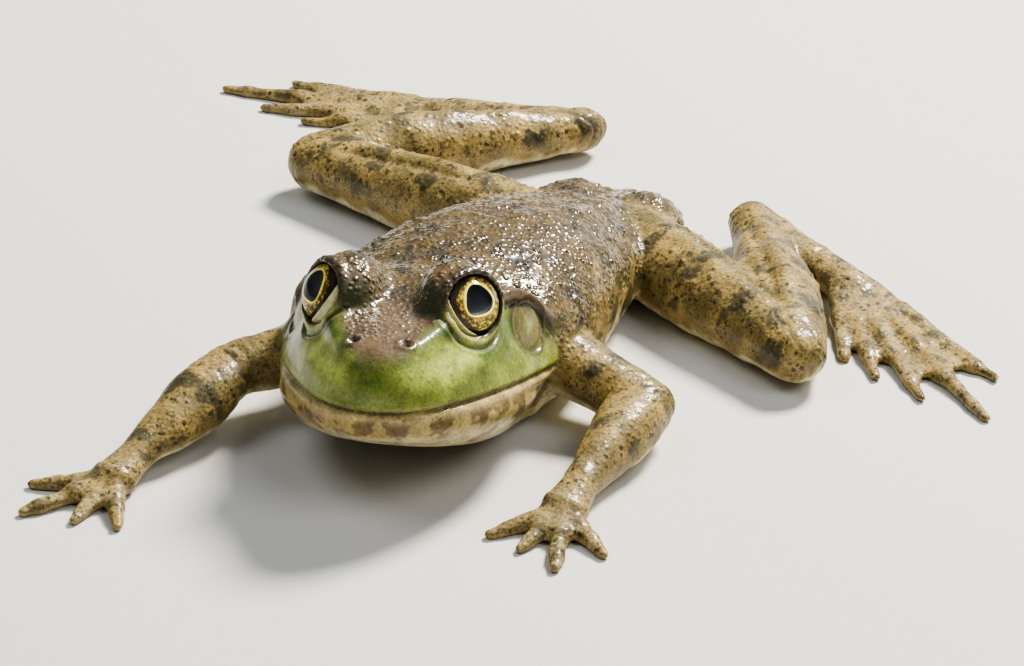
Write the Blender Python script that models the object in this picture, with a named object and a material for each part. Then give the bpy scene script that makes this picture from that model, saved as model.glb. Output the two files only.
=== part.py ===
"""An American bullfrog lying at rest on a floor, life size, as a still display model.

The frog faces -Y, its left side is +X and +Z is up. It lies on its belly with the head raised, the right arm
reaching forward, the left arm bent beside the chest, and both hind legs folded flat at the sides.
The body and each limb are lofted from named sizes and fused, and are then parted at the joints by thin cuts.
"""

import math

import bmesh
import bpy
from mathutils import Matrix, Vector

MM = 0.001

# Driving dimensions, in millimetres. The head frame has its origin at the front of the upper lip: x to the
# frog's left, y back from the snout and z up from the plane of the mouth.
SNOUT_VENT = 140.0
HEAD_LENGTH = 0.313 * SNOUT_VENT  # snout to the corner of the mouth
HEAD_HALF_WIDTH = 0.187 * SNOUT_VENT
LIP_DROP = 3.2  # how far the corner of the mouth lies below the front of the lip
LIP_FRONT = (5.6, -64.8, 25.1)
HEAD_YAW, HEAD_PITCH, HEAD_ROLL = 12.0, 8.5, -0.5
NAPE_Y = -30.0
VENT_Y = 75.0

EYE_RADIUS = 6.6
EYE_CENTRE = (12.3, 25.3, 13.6)
EYE_AXIS = (0.71, -0.64, 0.30)  # where the pupil looks, in the head frame
LID_THICKNESS = 1.0
LID_OPENING = (6.25, 5.9)  # half width and half height of the gap between the lids
EARDRUM_RADIUS = 5.5
EARDRUM_CENTRE = (21.5, 37.2, 5.6)
EARDRUM_AXIS = (0.80, -0.12, 0.58)
EARDRUM_DEPTH = 1.6

THIGH, SHANK, TARSUS = 56.0, 61.5, 32.0
UPPER_ARM, FOREARM = 28.0, 28.5
TOE_LENGTHS = (25.0, 34.0, 45.0, 57.0, 43.0)
TOE_SHARES = (-0.42, -0.24, -0.05, 0.17, 0.45)  # each toe's place in the spread of the foot
FINGER_LENGTHS = (14.5, 13.5, 18.5, 15.0)
KNEE_HEIGHT, HEEL_HEIGHT, TARSUS_END_HEIGHT = 7.4, 6.2, 3.6

FLOOR_PRESS = 0.6  # how far soft undersides would sink below the floor, which leaves the small flats
PART_GAP = 0.4  # width of the thin cuts between parts
SOCKET_GAP = 0.3
VOXEL = 0.62
MERGE = 0.004  # points nearer than this become one
SHARP_ANGLE = math.radians(50.0)  # edges sharper than this stay crisp in smooth shading
CRUMB = 20.0  # cubic millimetres: cut-off pieces smaller than this are dropped
RING_POINTS = 28
NAPE_CUT, MOUTH_CUT = 46.5, -0.3  # where the head parts from the trunk and the lower jaw, in the head frame
KNEE_CONTACT = {"left": 38.0, "right": 26.0}  # how far thigh and shank lie together, from the knee
HEEL_CONTACT = {"left": 25.0, "right": 18.0}

BODY_TRIANGLES, ARM_TRIANGLES, LEG_TRIANGLES = 2250, 500, 800

SKIN = {
    "head": ((0.27, 0.37, 0.09), 0.35),
    "lower_jaw": ((0.62, 0.50, 0.27), 0.35),
    "trunk": ((0.22, 0.18, 0.09), 0.35),
    "arm": ((0.44, 0.31, 0.13), 0.35),
    "leg": ((0.40, 0.29, 0.12), 0.35),
    "foot": ((0.34, 0.27, 0.15), 0.35),
    "eardrum": ((0.33, 0.30, 0.12), 0.4),
    "eye": ((0.55, 0.40, 0.06), 0.05),
}

# side, shoulder, then heading and end height of the upper arm and of the forearm, then the fingers' headings
ARMS = {
    "left": (1, Vector((13.5, -6.5, 13.0)), (77.0, 8.0), (-5.0, 4.6), (-42.0, -12.0, 17.0, 50.0)),
    "right": (-1, Vector((-18.5, -17.0, 13.0)), (45.0, 11.0), (13.0, 4.6), (-30.0, 4.0, 36.0, 70.0)),
}
# side, hip, then the headings of thigh, shank, tarsus and foot, then the angle the toes spread through
LEGS = {
    "left": (1, Vector((12.5, 51.0, 8.2)), 56.5, 208.5, 61.0, 39.0, 38.0),
    "right": (-1, Vector((-12.0, 49.5, 8.2)), 104.0, 228.5, 92.0, 81.0, 30.0),
}


def clear_scene():
    for obj in list(bpy.data.objects):
        bpy.data.objects.remove(obj)


def material(name, colour, roughness):
    made = bpy.data.materials.new(name)
    made.use_nodes = True
    shader = made.node_tree.nodes["Principled BSDF"]
    shader.inputs["Base Color"].default_value = (*colour, 1.0)
    shader.inputs["Roughness"].default_value = roughness
    shader.inputs["Metallic"].default_value = 0.0
    return made


def head_matrix():
    turn = Matrix.Rotation(math.radians(HEAD_YAW), 4, "Z")
    nod = Matrix.Rotation(math.radians(-HEAD_PITCH), 4, "X")
    tilt = Matrix.Rotation(math.radians(HEAD_ROLL), 4, "Y")
    return Matrix.Translation(Vector(LIP_FRONT)) @ turn @ nod @ tilt


HEAD = head_matrix()
HEAD_TURN = HEAD.to_3x3()


def sided(point, side):
    """A point or direction given for the frog's left, on the side asked for: +1 left, -1 right."""
    return Vector((point[0] * side, point[1], point[2]))


def in_head(point, side=1):
    return HEAD @ sided(point, side)


def head_direction(direction, side=1):
    return (HEAD_TURN @ sided(direction, side)).normalized()


# Shape tools


def eased(keys, t):
    """The values at t of a smooth curve through keys, which are (t, value, value, ...)."""
    last = len(keys) - 1
    t = min(max(t, keys[0][0]), keys[last][0])
    i = max(k for k in range(last) if keys[k][0] <= t)
    a, b = keys[i], keys[i + 1]
    before, after = keys[max(i - 1, 0)], keys[min(i + 2, last)]
    span = b[0] - a[0]
    f = (t - a[0]) / span
    out = []
    for k in range(1, len(a)):
        slope_a = (b[k] - before[k]) / (b[0] - before[0]) * span
        slope_b = (after[k] - a[k]) / (after[0] - a[0]) * span
        out.append(
            (2 * f**3 - 3 * f**2 + 1) * a[k]
            + (f**3 - 2 * f**2 + f) * slope_a
            + (3 * f**2 - 2 * f**3) * b[k]
            + (f**3 - f**2) * slope_b
        )
    return out


def between(a, b, c, d, f):
    """The value at share f of the way from b to c on a smooth curve through a, b, c and d."""
    square = (2 * a - 5 * b + 4 * c - d) * f**2
    cube = (3 * b - a - 3 * c + d) * f**3
    return 0.5 * (2 * b + (c - a) * f + square + cube)


def closed_curve(half, per_span=4):
    """A closed smooth outline from its left half, given as (x, z) from the bottom to the top."""
    loop = list(half) + [(-x, z) for x, z in reversed(half[1:-1])]
    count = len(loop)
    outline = []
    for i in range(count):
        corners = [loop[(i + k) % count] for k in (-1, 0, 1, 2)]
        for step in range(per_span):
            outline.append(tuple(between(*four, step / per_span) for four in zip(*corners)))
    return outline


def power_ring(centre, across, up, half_width, above, below, sharp_above=2.0, sharp_below=2.0):
    """A closed ring of points, wide along across, with its own height and squareness above and below."""
    ring = []
    for i in range(RING_POINTS):
        angle = 2 * math.pi * i / RING_POINTS
        c, s = math.cos(angle), math.sin(angle)
        power = 2.0 / (sharp_above if s >= 0 else sharp_below)
        height = above if s >= 0 else below
        x = half_width * math.copysign(abs(c) ** power, c)
        z = height * math.copysign(abs(s) ** power, s)
        ring.append(centre + across * x + up * z)
    return ring


def loft(bm, rings):
    """A closed solid through rings of equal point counts."""
    made = [[bm.verts.new(p * MM) for p in ring] for ring in rings]
    count = len(rings[0])
    for a, b in zip(made, made[1:]):
        for i in range(count):
            j = (i + 1) % count
            bm.faces.new((a[i], a[j], b[j], b[i]))
    bm.faces.new(made[0][::-1])
    bm.faces.new(made[-1])


def object_from(bm, name):
    bmesh.ops.recalc_face_normals(bm, faces=bm.faces)
    mesh = bpy.data.meshes.new(name)
    bm.to_mesh(mesh)
    bm.free()
    obj = bpy.data.objects.new(name, mesh)
    bpy.context.scene.collection.objects.link(obj)
    return obj


def solid(name, build, *arguments):
    """A new object from a function that fills a bmesh."""
    bm = bmesh.new()
    build(bm, *arguments)
    return object_from(bm, name)


def ellipsoid(bm, centre, radii, turn=HEAD_TURN, segments=24, rings=16):
    """A round lump, its radii along the axes of turn, which is the head's unless another is given."""
    size = Matrix.Diagonal((*[r * MM for r in radii], 1.0))
    place = Matrix.Translation(centre * MM) @ turn.to_4x4() @ size
    bmesh.ops.create_uvsphere(bm, u_segments=segments, v_segments=rings, radius=1.0, matrix=place)


def turn_along(direction, up=Vector((0, 0, 1))):
    """A rotation whose z runs along direction, and whose y leans towards up."""
    z = direction.normalized()
    x = up.cross(z).normalized()
    return Matrix((x, z.cross(x), z)).transposed()


def tube(bm, points, radii, flatness=1.0, steps=6):
    """A round-ended rod through points, with a radius at each, its height flatness times its width."""
    keys = [(i, *p, r) for i, (p, r) in enumerate(zip(points, radii))]
    rows = [eased(keys, i / steps) for i in range(steps * (len(points) - 1) + 1)]
    centres = [Vector(row[:3]) for row in rows]
    sizes = [row[3] for row in rows]
    rings = []

    def add(centre, along, radius):
        across = along.cross(Vector((0, 0, 1)))
        across = across.normalized() if across.length > 1e-3 else Vector((1, 0, 0))
        up = across.cross(along).normalized()
        rings.append(power_ring(centre, across, up, radius, radius * flatness, radius * flatness))

    start, end = (centres[1] - centres[0]).normalized(), (centres[-1] - centres[-2]).normalized()
    for angle in (80, 50, 25):
        a = math.radians(angle)
        add(centres[0] - start * sizes[0] * math.sin(a), start, sizes[0] * math.cos(a))
    for i, centre in enumerate(centres):
        along = centres[min(i + 1, len(centres) - 1)] - centres[max(i - 1, 0)]
        add(centre, along.normalized(), sizes[i])
    for angle in (25, 50, 80):
        a = math.radians(angle)
        add(centres[-1] + end * sizes[-1] * math.sin(a), end, sizes[-1] * math.cos(a))
    loft(bm, rings)


# Trunk and head


TRUNK_SQUARENESS = (2.15, 2.6)  # of its section above and below, where 2 is an ellipse


def spine_x(y):
    """The body lies slightly bent: the middle of the trunk at each y."""
    return -1.7 + 0.076 * y


def trunk(bm):
    """The sack of the body, from under the nape to the vent, by its outlines from above and from the side."""
    keys = (
        # y, half width, height of the widest line, top, bottom
        (NAPE_Y, 17.0, 17.0, 31.6, 6.0),
        (-22.0, 22.0, 16.5, 32.4, 3.0),
        (-10.0, 25.8, 15.5, 32.4, -0.8),
        (2.0, 25.6, 14.5, 31.9, -1.5),
        (14.0, 23.4, 13.5, 30.4, -1.6),
        (27.0, 20.4, 12.5, 26.6, -1.4),
        (40.0, 17.2, 11.0, 21.0, -0.9),
        (53.0, 13.0, 9.5, 15.8, 0.2),
        (66.0, 7.6, 8.0, 11.6, 3.4),
        (VENT_Y, 2.6, 7.6, 9.2, 5.8),
    )
    steps = 36
    rings = []
    for i in range(steps + 1):
        y = NAPE_Y + (VENT_Y - NAPE_Y) * i / steps
        half, middle, top, bottom = eased(keys, y)
        centre = Vector((spine_x(y), y, middle))
        across, up = Vector((1, 0, 0)), Vector((0, 0, 1))
        rings.append(power_ring(centre, across, up, half, top - middle, middle - bottom, *TRUNK_SQUARENESS))
    loft(bm, rings)


def lip_half_width(y):
    """The rounded outline of the upper lip from above."""
    ahead = max(0.0, (HEAD_LENGTH - y) / HEAD_LENGTH)
    return HEAD_HALF_WIDTH * math.sqrt(max(0.0, 1.0 - ahead**1.5))


def lip_height(y):
    """The line of the mouth from the side."""
    return -LIP_DROP * (y / HEAD_LENGTH) ** 2


def rounding(y, reach):
    """Grows from 0 at the tip of the snout to 1 at reach, like a quarter circle."""
    return math.sqrt(1.0 - (1.0 - min(y, reach) / reach) ** 2)


def head_stations():
    """Distances back from the snout, close together where the snout turns."""
    steps = 30
    reach = HEAD_LENGTH + 11.0
    return [0.12 + reach * (1 - math.cos(0.5 * math.pi * i / steps)) ** 1.1 for i in range(1, steps + 1)]


def head_outline(y):
    """The upper head's section: floor of the skull, lip, cheek, canthus and crown."""
    keys = (
        # y, inset and height of the cheek, half width and height of the canthus, height of the crown
        (8.0, 1.4, 4.8, 6.4, 10.0, 11.4),
        (13.0, 1.8, 5.2, 8.2, 10.9, 12.4),
        (19.0, 2.4, 5.6, 10.8, 11.4, 13.4),
        (25.5, 3.2, 5.8, 14.0, 11.8, 14.4),
        (31.5, 3.8, 5.8, 16.4, 11.8, 15.3),
        (37.5, 4.6, 5.6, 18.0, 11.2, 15.7),
        (45.0, 4.6, 5.4, 18.0, 9.6, 14.4),
        (HEAD_LENGTH + 11.0, 5.0, 4.0, 14.0, 6.0, 9.0),
    )
    inset, cheek_z, canthus_x, canthus_z, crown = eased(keys, y)
    half = max(lip_half_width(y), 0.8) - 0.16 * max(0.0, y - HEAD_LENGTH)
    r = rounding(y, 8.0)
    lip = lip_height(y)
    tip = 2.2

    def at(z):
        return tip + (z - tip) * r

    return (
        (0.0, lip + tip - 4.4 * rounding(y, 4.0)),
        (half * 0.86, lip + tip - 3.6 * rounding(y, 4.0)),
        (half, lip + at(0.8)),
        (half - inset * r * 0.45, 0.5 * lip + at(0.42 * cheek_z + 0.6)),
        (half - inset * r, at(cheek_z)),
        (min(canthus_x * r, half * 0.86), at(canthus_z)),
        (0.5 * canthus_x * r, at(0.22 * canthus_z + 0.78 * crown)),
        (0.0, at(crown)),
    )


def jaw_outline(y):
    """The section of the lower jaw and throat, which is full and tucks in towards the mouth's corner."""
    keys = (
        # y, depth, bulge beyond the lip, half width of the under side as a share
        (6.0, 7.4, 0.7, 0.72),
        (14.0, 10.8, 1.3, 0.74),
        (24.0, 13.8, 1.2, 0.72),
        (34.0, 15.4, -0.6, 0.68),
        (42.0, 16.0, -3.2, 0.62),
        (HEAD_LENGTH + 11.0, 16.2, -6.0, 0.60),
    )
    depth, bulge, under = eased(keys, y)
    half = max(lip_half_width(y), 0.8) - 0.16 * max(0.0, y - HEAD_LENGTH)
    r = rounding(y, 6.0)
    lip = lip_height(y)
    low = lip - 1.0
    return (
        (0.0, low - (depth - 1.0) * r),
        (half * under, low - (0.86 * depth - 1.0) * r),
        (half + bulge * r, low - (0.38 * depth - 1.0) * r),
        (half - 0.5, low - 0.4 * r),
        (half - 1.5, low + 1.6 * r),
        (0.0, low + 2.2 * r),
    )


def head_loft(bm, outline, first):
    across, up = HEAD_TURN @ Vector((1, 0, 0)), HEAD_TURN @ Vector((0, 0, 1))
    rings = []
    for y in head_stations():
        if y >= first:
            centre = HEAD @ Vector((0, y, 0))
            rings.append([centre + across * x + up * z for x, z in closed_curve(outline(y))])
    loft(bm, rings)


def brow(bm, side):
    """The dome over the eye, and the thick upper lid that runs in and back from it."""
    outer = EYE_RADIUS + LID_THICKNESS
    ellipsoid(bm, in_head(EYE_CENTRE, side), (outer, outer, outer))
    ellipsoid(bm, in_head((10.0, 27.0, 13.8), side), (6.8, 9.2, 7.9))


def canthus(bm, side):
    """The low ridge from the eye to the nostril, with a swelling round the nostril."""
    ridge = [in_head(p, side) for p in ((10.2, 18.5, 10.8), (8.2, 13.5, 9.8), (6.0, 8.6, 8.8))]
    tube(bm, ridge, (3.0, 2.6, 2.3))
    ellipsoid(bm, in_head((5.1, 7.4, 9.2), side), (2.2, 2.6, 2.0))


def ear_fold(bm, side):
    """The fold of skin that starts behind the eye and bends down behind the eardrum to the shoulder."""
    route = ((16.6, 32.0, 13.0), (19.2, 37.6, 12.2), (22.2, 42.4, 8.6), (24.2, 46.0, 3.6), (24.4, 49.5, -3.0))
    tube(bm, [in_head(p, side) for p in route], (1.4, 1.7, 1.9, 1.9, 1.5))


def jaw_gland(bm, side):
    """The swelling behind the corner of the mouth."""
    ellipsoid(bm, in_head((24.7, HEAD_LENGTH - 0.5, -0.6), side), (2.5, 4.0, 2.6))


def shoulder_mass(bm, side):
    """Shoulder blade and breast muscle, which fill the corner between head, trunk and arm."""
    ellipsoid(bm, Vector((spine_x(-9.0) + 15.0 * side, -9.0, 18.5)), (9.8, 14.0, 10.5), Matrix.Identity(3))
    ellipsoid(bm, Vector((spine_x(-14.0) + 11.5 * side, -14.0, 8.0)), (11.0, 13.0, 8.8), Matrix.Identity(3))


def rump(bm, side):
    """The muscle behind the hip, which makes the rear end blunt."""
    ellipsoid(bm, Vector((spine_x(57.0) + 7.6 * side, 57.0, 8.0)), (9.4, 13.0, 7.4), Matrix.Identity(3))


def back_ridges(bm):
    """The urostyle and the bones of the pelvis, which run from the hump to the vent."""
    for side in (-1, 1):
        stations = ((8.5, 16.0, 26.0), (7.4, 38.0, 18.6), (3.6, 60.0, 10.6))
        tube(bm, [Vector((spine_x(y) + x * side, y, z)) for x, y, z in stations], (3.4, 3.8, 2.8))
    stations = ((22.0, 25.8), (44.0, 17.0), (68.0, 8.8))
    tube(bm, [Vector((spine_x(y), y, z)) for y, z in stations], (3.0, 3.0, 2.4))


# Limbs. A heading is in degrees from straight ahead towards the frog's own side.


def heading_step(side, heading, length, rise=0.0):
    angle = math.radians(heading)
    flat = math.sqrt(max(length**2 - rise**2, 0.0))
    return Vector((side * math.sin(angle) * flat, -math.cos(angle) * flat, rise))


def arm_joints(name):
    side, shoulder, (upper, elbow_height), (fore, wrist_height), _ = ARMS[name]
    elbow = shoulder + heading_step(side, upper, UPPER_ARM, elbow_height - shoulder.z)
    wrist = elbow + heading_step(side, fore, FOREARM, wrist_height - elbow.z)
    palm = wrist + heading_step(side, fore, 6.5)
    palm.z = 2.6
    return shoulder, elbow, wrist, palm


def leg_joints(name):
    side, hip, thigh, shank, tarsus, foot, _ = LEGS[name]
    knee = hip + heading_step(side, thigh, THIGH, KNEE_HEIGHT - hip.z)
    heel = knee + heading_step(side, shank, SHANK, HEEL_HEIGHT - knee.z)
    end = heel + heading_step(side, tarsus, TARSUS, TARSUS_END_HEIGHT - heel.z)
    return hip, knee, heel, end, end + heading_step(side, foot, 12.0)


def muscle(bm, start, end, keys, flatness=0.95):
    """A limb segment: keys give its radius, sideways bow and lift at shares of its length."""
    along = end - start
    bow = Vector((along.y, -along.x, 0)).normalized()
    points, radii = [], []
    for share, radius, bowed, lift in keys:
        points.append(start + along * share + bow * bowed + Vector((0, 0, lift)))
        radii.append(radius)
    tube(bm, points, radii, flatness, steps=5)


def arm(bm, name):
    side = ARMS[name][0]
    shoulder, elbow, wrist, palm = arm_joints(name)
    upper = ((0.0, 8.0, 0, 0), (0.35, 7.0, 0, 0), (0.75, 5.8, 0, 0), (1.0, 5.4, 0, 0))
    muscle(bm, shoulder, elbow, upper)
    fore = (
        (0.0, 5.5, 0, 0),
        (0.28, 6.5, 0.4 * side, 0),
        (0.6, 5.4, 0.3 * side, 0),
        (0.86, 3.9, 0, 0),
        (1.0, 3.7, 0, 0),
    )
    muscle(bm, elbow, wrist, fore, 0.92)
    tube(bm, (wrist, palm), (3.8, 4.6), 0.72)
    for heading, length in zip(ARMS[name][4], FINGER_LENGTHS):
        direction = heading_step(side, heading, 1.0)
        digit(bm, palm + direction * 1.5, direction, length, (2.15, 1.35), 0.9)


# along a finger or toe: share of its length, then thickness there as a share of its taper
DIGIT_SWELLINGS = (
    (0.0, 1.0), (0.2, 0.92), (0.36, 1.08), (0.52, 0.88), (0.68, 1.06), (0.84, 0.86), (0.96, 0.98),
)


def digit(bm, base, direction, length, radii, lift):
    """A finger or toe with swollen joints, lying along the floor to a rounded tip."""
    points = []
    sizes = []
    for share, swell in DIGIT_SWELLINGS:
        radius = (radii[0] + (radii[1] - radii[0]) * share) * swell
        height = lift * (1 - share) ** 2 + radius * 0.9 - FLOOR_PRESS * 0.5
        points.append(Vector((base.x, base.y, 0)) + direction * length * share + Vector((0, 0, height)))
        sizes.append(radius)
    tube(bm, points, sizes, 0.92, steps=3)
    return points


def leg(bm, name):
    hip, knee, heel, end = leg_joints(name)[:4]
    thigh = ((0.0, 8.8, 0, 0), (0.22, 9.2, 0, 0), (0.48, 8.8, 0, 0), (0.78, 7.2, 0, 0), (1.0, 6.3, 0, 0))
    muscle(bm, hip, knee, thigh)
    shank = (
        (0.0, 6.4, 0, 0),
        (0.2, 7.9, 0, 0),
        (0.42, 8.2, 0, 0.4),
        (0.7, 6.4, 0, 0),
        (0.9, 4.9, 0, 0),
        (1.0, 5.0, 0, 0),
    )
    muscle(bm, knee, heel, shank, 0.98)
    tarsus = ((0.0, 5.2, 0, 0), (0.2, 4.6, 0, 0), (0.55, 4.2, 0, 0), (0.85, 4.3, 0, 0), (1.0, 4.4, 0, 0))
    muscle(bm, heel, end, tarsus, 0.85)
    lines = toes(bm, name)
    for first, second, reach in zip(lines, lines[1:], WEB_REACH):
        web(bm, first, second, reach)


def toes(bm, name):
    side, end = LEGS[name][0], leg_joints(name)[3]
    foot, spread = LEGS[name][5:]
    across = heading_step(side, foot + 90.0, 1.0)
    lines = []
    for i, (share, length) in enumerate(zip(TOE_SHARES, TOE_LENGTHS)):
        direction = heading_step(side, foot + spread * share, 1.0)
        base = end + across * (i - 2) * 1.7 + direction
        lines.append(digit(bm, base, direction, length, (2.3, 1.25), 1.6))
    return lines


# how far each web reaches along the two toes beside it, as shares of their lengths
WEB_REACH = ((0.92, 0.72), (0.92, 0.74), (0.92, 0.78), (0.76, 0.94))


def web(bm, first, second, reach, thickness=1.25):
    """The membrane between two toes, out to a share of each toe, with a hollow free edge."""
    across, along = 8, 12

    def on_toe(line, share):
        keys = [(i / (len(line) - 1), *p) for i, p in enumerate(line)]
        return Vector(eased(keys, share))

    layers = []
    for height in (0.5, -0.5):
        grid = []
        for i in range(along + 1):
            row = []
            for j in range(across + 1):
                u = j / across
                share = i / along * (reach[0] * (1 - u) + reach[1] * u)
                share *= 1.0 - 0.22 * (i / along) * math.sin(math.pi * u)
                p = on_toe(first, share).lerp(on_toe(second, share), u)
                p.z = max(p.z * 0.85, 0.5) + height * thickness
                row.append(bm.verts.new(p * MM))
            grid.append(row)
        layers.append(grid)
    top, under = layers
    for i in range(along):
        for j in range(across):
            bm.faces.new((top[i][j], top[i + 1][j], top[i + 1][j + 1], top[i][j + 1]))
            bm.faces.new((under[i][j], under[i][j + 1], under[i + 1][j + 1], under[i + 1][j]))
    rim = [(i, 0) for i in range(along)] + [(along, j) for j in range(across)]
    rim += [(i, across) for i in range(along, 0, -1)] + [(0, j) for j in range(across, 0, -1)]
    for (a, b), (c, d) in zip(rim, rim[1:] + rim[:1]):
        bm.faces.new((top[a][b], under[a][b], under[c][d], top[c][d]))


# Fusing and parting


def apply_modifiers(obj):
    graph = bpy.context.evaluated_depsgraph_get()
    mesh = bpy.data.meshes.new_from_object(obj.evaluated_get(graph))
    old = obj.data
    obj.modifiers.clear()
    obj.data = mesh
    bpy.data.meshes.remove(old)
    return obj


def joined(name, objects):
    bm = bmesh.new()
    for obj in objects:
        bm.from_mesh(obj.data)
        bpy.data.objects.remove(obj)
    mesh = bpy.data.meshes.new(name)
    bm.to_mesh(mesh)
    bm.free()
    obj = bpy.data.objects.new(name, mesh)
    bpy.context.scene.collection.objects.link(obj)
    return obj


def fused(name, pieces, triangles):
    """The pieces as one smooth skin, simplified to about the number of triangles given."""
    body = joined(name, pieces)
    fuse = body.modifiers.new("fuse", "REMESH")
    fuse.mode = "VOXEL"
    fuse.voxel_size = VOXEL * MM
    blend = body.modifiers.new("blend", "SMOOTH")
    blend.factor = 0.5
    blend.iterations = 5
    apply_modifiers(body)
    thin = body.modifiers.new("thin", "DECIMATE")
    thin.ratio = triangles / (2.0 * len(body.data.polygons))
    thin.use_collapse_triangulate = True
    return apply_modifiers(body)


def body_pieces():
    pieces = [solid("trunk_loft", trunk), solid("upper_head_loft", head_loft, head_outline, 0.0)]
    pieces.append(solid("jaw_loft", head_loft, jaw_outline, 1.2))
    pieces.append(solid("back_ridge_lofts", back_ridges))
    for side in (-1, 1):
        for build in (brow, canthus, ear_fold, jaw_gland, shoulder_mass, rump):
            pieces.append(solid(build.__name__ + "_loft", build, side))
    return pieces


def use_boolean(obj, operation, tool):
    """Joins, cuts or intersects obj with tool, which is used up."""
    tool.hide_render = True
    tool.display_type = "WIRE"
    cut = obj.modifiers.new("cut", "BOOLEAN")
    cut.operation = operation
    cut.solver = "EXACT"
    cut.object = tool
    apply_modifiers(obj)
    bpy.data.objects.remove(tool)


def copy_of(obj, name):
    twin = bpy.data.objects.new(name, obj.data.copy())
    bpy.context.scene.collection.objects.link(twin)
    return twin


def block(centre, turn, size):
    """A box of the given full sizes along the axes of turn."""
    bm = bmesh.new()
    scale = Matrix.Diagonal((*[v * MM for v in size], 1.0))
    place = Matrix.Translation(centre * MM) @ turn.to_4x4() @ scale
    bmesh.ops.create_cube(bm, size=1.0, matrix=place)
    return object_from(bm, "block_cutter")


def rod(centre, turn, radii, near, far, segments=28):
    """An elliptical cylinder about the z axis of turn, between two distances along it."""
    bm = bmesh.new()
    scale = Matrix.Diagonal((radii[0] * MM, radii[1] * MM, (far - near) * MM, 1.0))
    middle = centre + turn @ Vector((0, 0, (near + far) / 2))
    place = Matrix.Translation(middle * MM) @ turn.to_4x4() @ scale
    bmesh.ops.create_cone(
        bm, cap_ends=True, segments=segments, radius1=1.0, radius2=1.0, depth=1.0, matrix=place
    )
    return object_from(bm, "rod_cutter")


def swollen(obj, gap):
    twin = copy_of(obj, "swollen_cutter")
    grow = twin.modifiers.new("grow", "DISPLACE")
    grow.direction = "NORMAL"
    grow.mid_level = 0.0
    grow.strength = gap * MM
    return apply_modifiers(twin)


def flatten_underside(obj):
    """Removes what would sink below the floor."""
    use_boolean(obj, "DIFFERENCE", block(Vector((0, 0, -25.0)), Matrix.Identity(3), (400.0, 400.0, 50.0)))


def mitre_cut(obj, before, joint, after, inner, outer):
    """Parts a limb at a joint, along the upright plane that halves the bend of the joint."""
    a = (joint - before).to_2d().normalized()
    b = (after - joint).to_2d().normalized()
    normal = Vector((*(a + b).normalized(), 0.0))
    inward = Vector((*(b - a), 0.0))
    along = Vector((normal.y, -normal.x, 0.0))
    if along.dot(inward) < 0:
        along.negate()
    turn = Matrix((along, normal, along.cross(normal))).transposed()
    middle = Vector((joint.x, joint.y, 10.0)) + along * (inner - outer) / 2
    use_boolean(obj, "DIFFERENCE", block(middle, turn, (inner + outer, PART_GAP, 40.0)))


def islands(obj):
    """The separate closed bodies of an object as new objects, dropping crumbs; obj is used up."""
    bm = bmesh.new()
    bm.from_mesh(obj.data)
    bpy.data.objects.remove(obj)
    bm.verts.ensure_lookup_table()
    unseen = set(range(len(bm.verts)))
    parts = []
    while unseen:
        group = {min(unseen)}
        front = list(group)
        while front:
            vert = bm.verts[front.pop()]
            for edge in vert.link_edges:
                other = edge.other_vert(vert).index
                if other not in group:
                    group.add(other)
                    front.append(other)
        unseen -= group
        piece = bm.copy()
        piece.verts.ensure_lookup_table()
        bmesh.ops.delete(piece, geom=[v for v in piece.verts if v.index not in group], context="VERTS")
        if abs(piece.calc_volume()) > CRUMB * MM**3:
            parts.append(object_from(piece, "island"))
        else:
            piece.free()
    bm.free()
    return parts


def middle_of(obj):
    total = Vector()
    for vert in obj.data.vertices:
        total += vert.co
    return total / len(obj.data.vertices) / MM


def named_islands(obj, places):
    """Splits an object into islands, each named after the nearest of the places."""
    parts = islands(obj)
    if len(parts) != len(places):
        raise ValueError(f"{len(parts)} islands for {sorted(places)}")
    for part in parts:
        centre = middle_of(part)
        name = min(places, key=lambda n: (places[n] - centre).length)
        part.name = part.data.name = name
        del places[name]


def part_arm(name, trunk_cutter):
    shoulder, elbow, wrist, palm = arm_joints(name)
    obj = fused("arm_" + name, [solid("arm_loft", arm, name)], ARM_TRIANGLES)
    use_boolean(obj, "DIFFERENCE", trunk_cutter)
    flatten_underside(obj)
    obj = max(islands(obj), key=lambda o: len(o.data.vertices))
    mitre_cut(obj, shoulder, elbow, wrist, 10.0, 12.0)
    mitre_cut(obj, elbow, wrist, palm, 9.0, 9.0)
    places = {
        "upper_arm_" + name: shoulder.lerp(elbow, 0.7),
        "forearm_" + name: elbow.lerp(wrist, 0.5),
        "hand_" + name: palm + (palm - wrist),
    }
    named_islands(obj, places)


def part_leg(name, trunk_cutter):
    hip, knee, heel, end, toe = leg_joints(name)
    obj = fused("leg_" + name, [solid("leg_loft", leg, name)], LEG_TRIANGLES)
    use_boolean(obj, "DIFFERENCE", trunk_cutter)
    flatten_underside(obj)
    obj = max(islands(obj), key=lambda o: len(o.data.vertices))
    mitre_cut(obj, hip, knee, heel, KNEE_CONTACT[name], 12.0)
    mitre_cut(obj, knee, heel, end, HEEL_CONTACT[name], 10.0)
    mitre_cut(obj, heel, end, toe, 9.0, 9.0)
    places = {
        "thigh_" + name: hip.lerp(knee, 0.55),
        "shank_" + name: knee.lerp(heel, 0.45),
        "ankle_" + name: heel.lerp(end, 0.5),
        "foot_" + name: end.lerp(toe, 2.2),
    }
    named_islands(obj, places)


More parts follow.
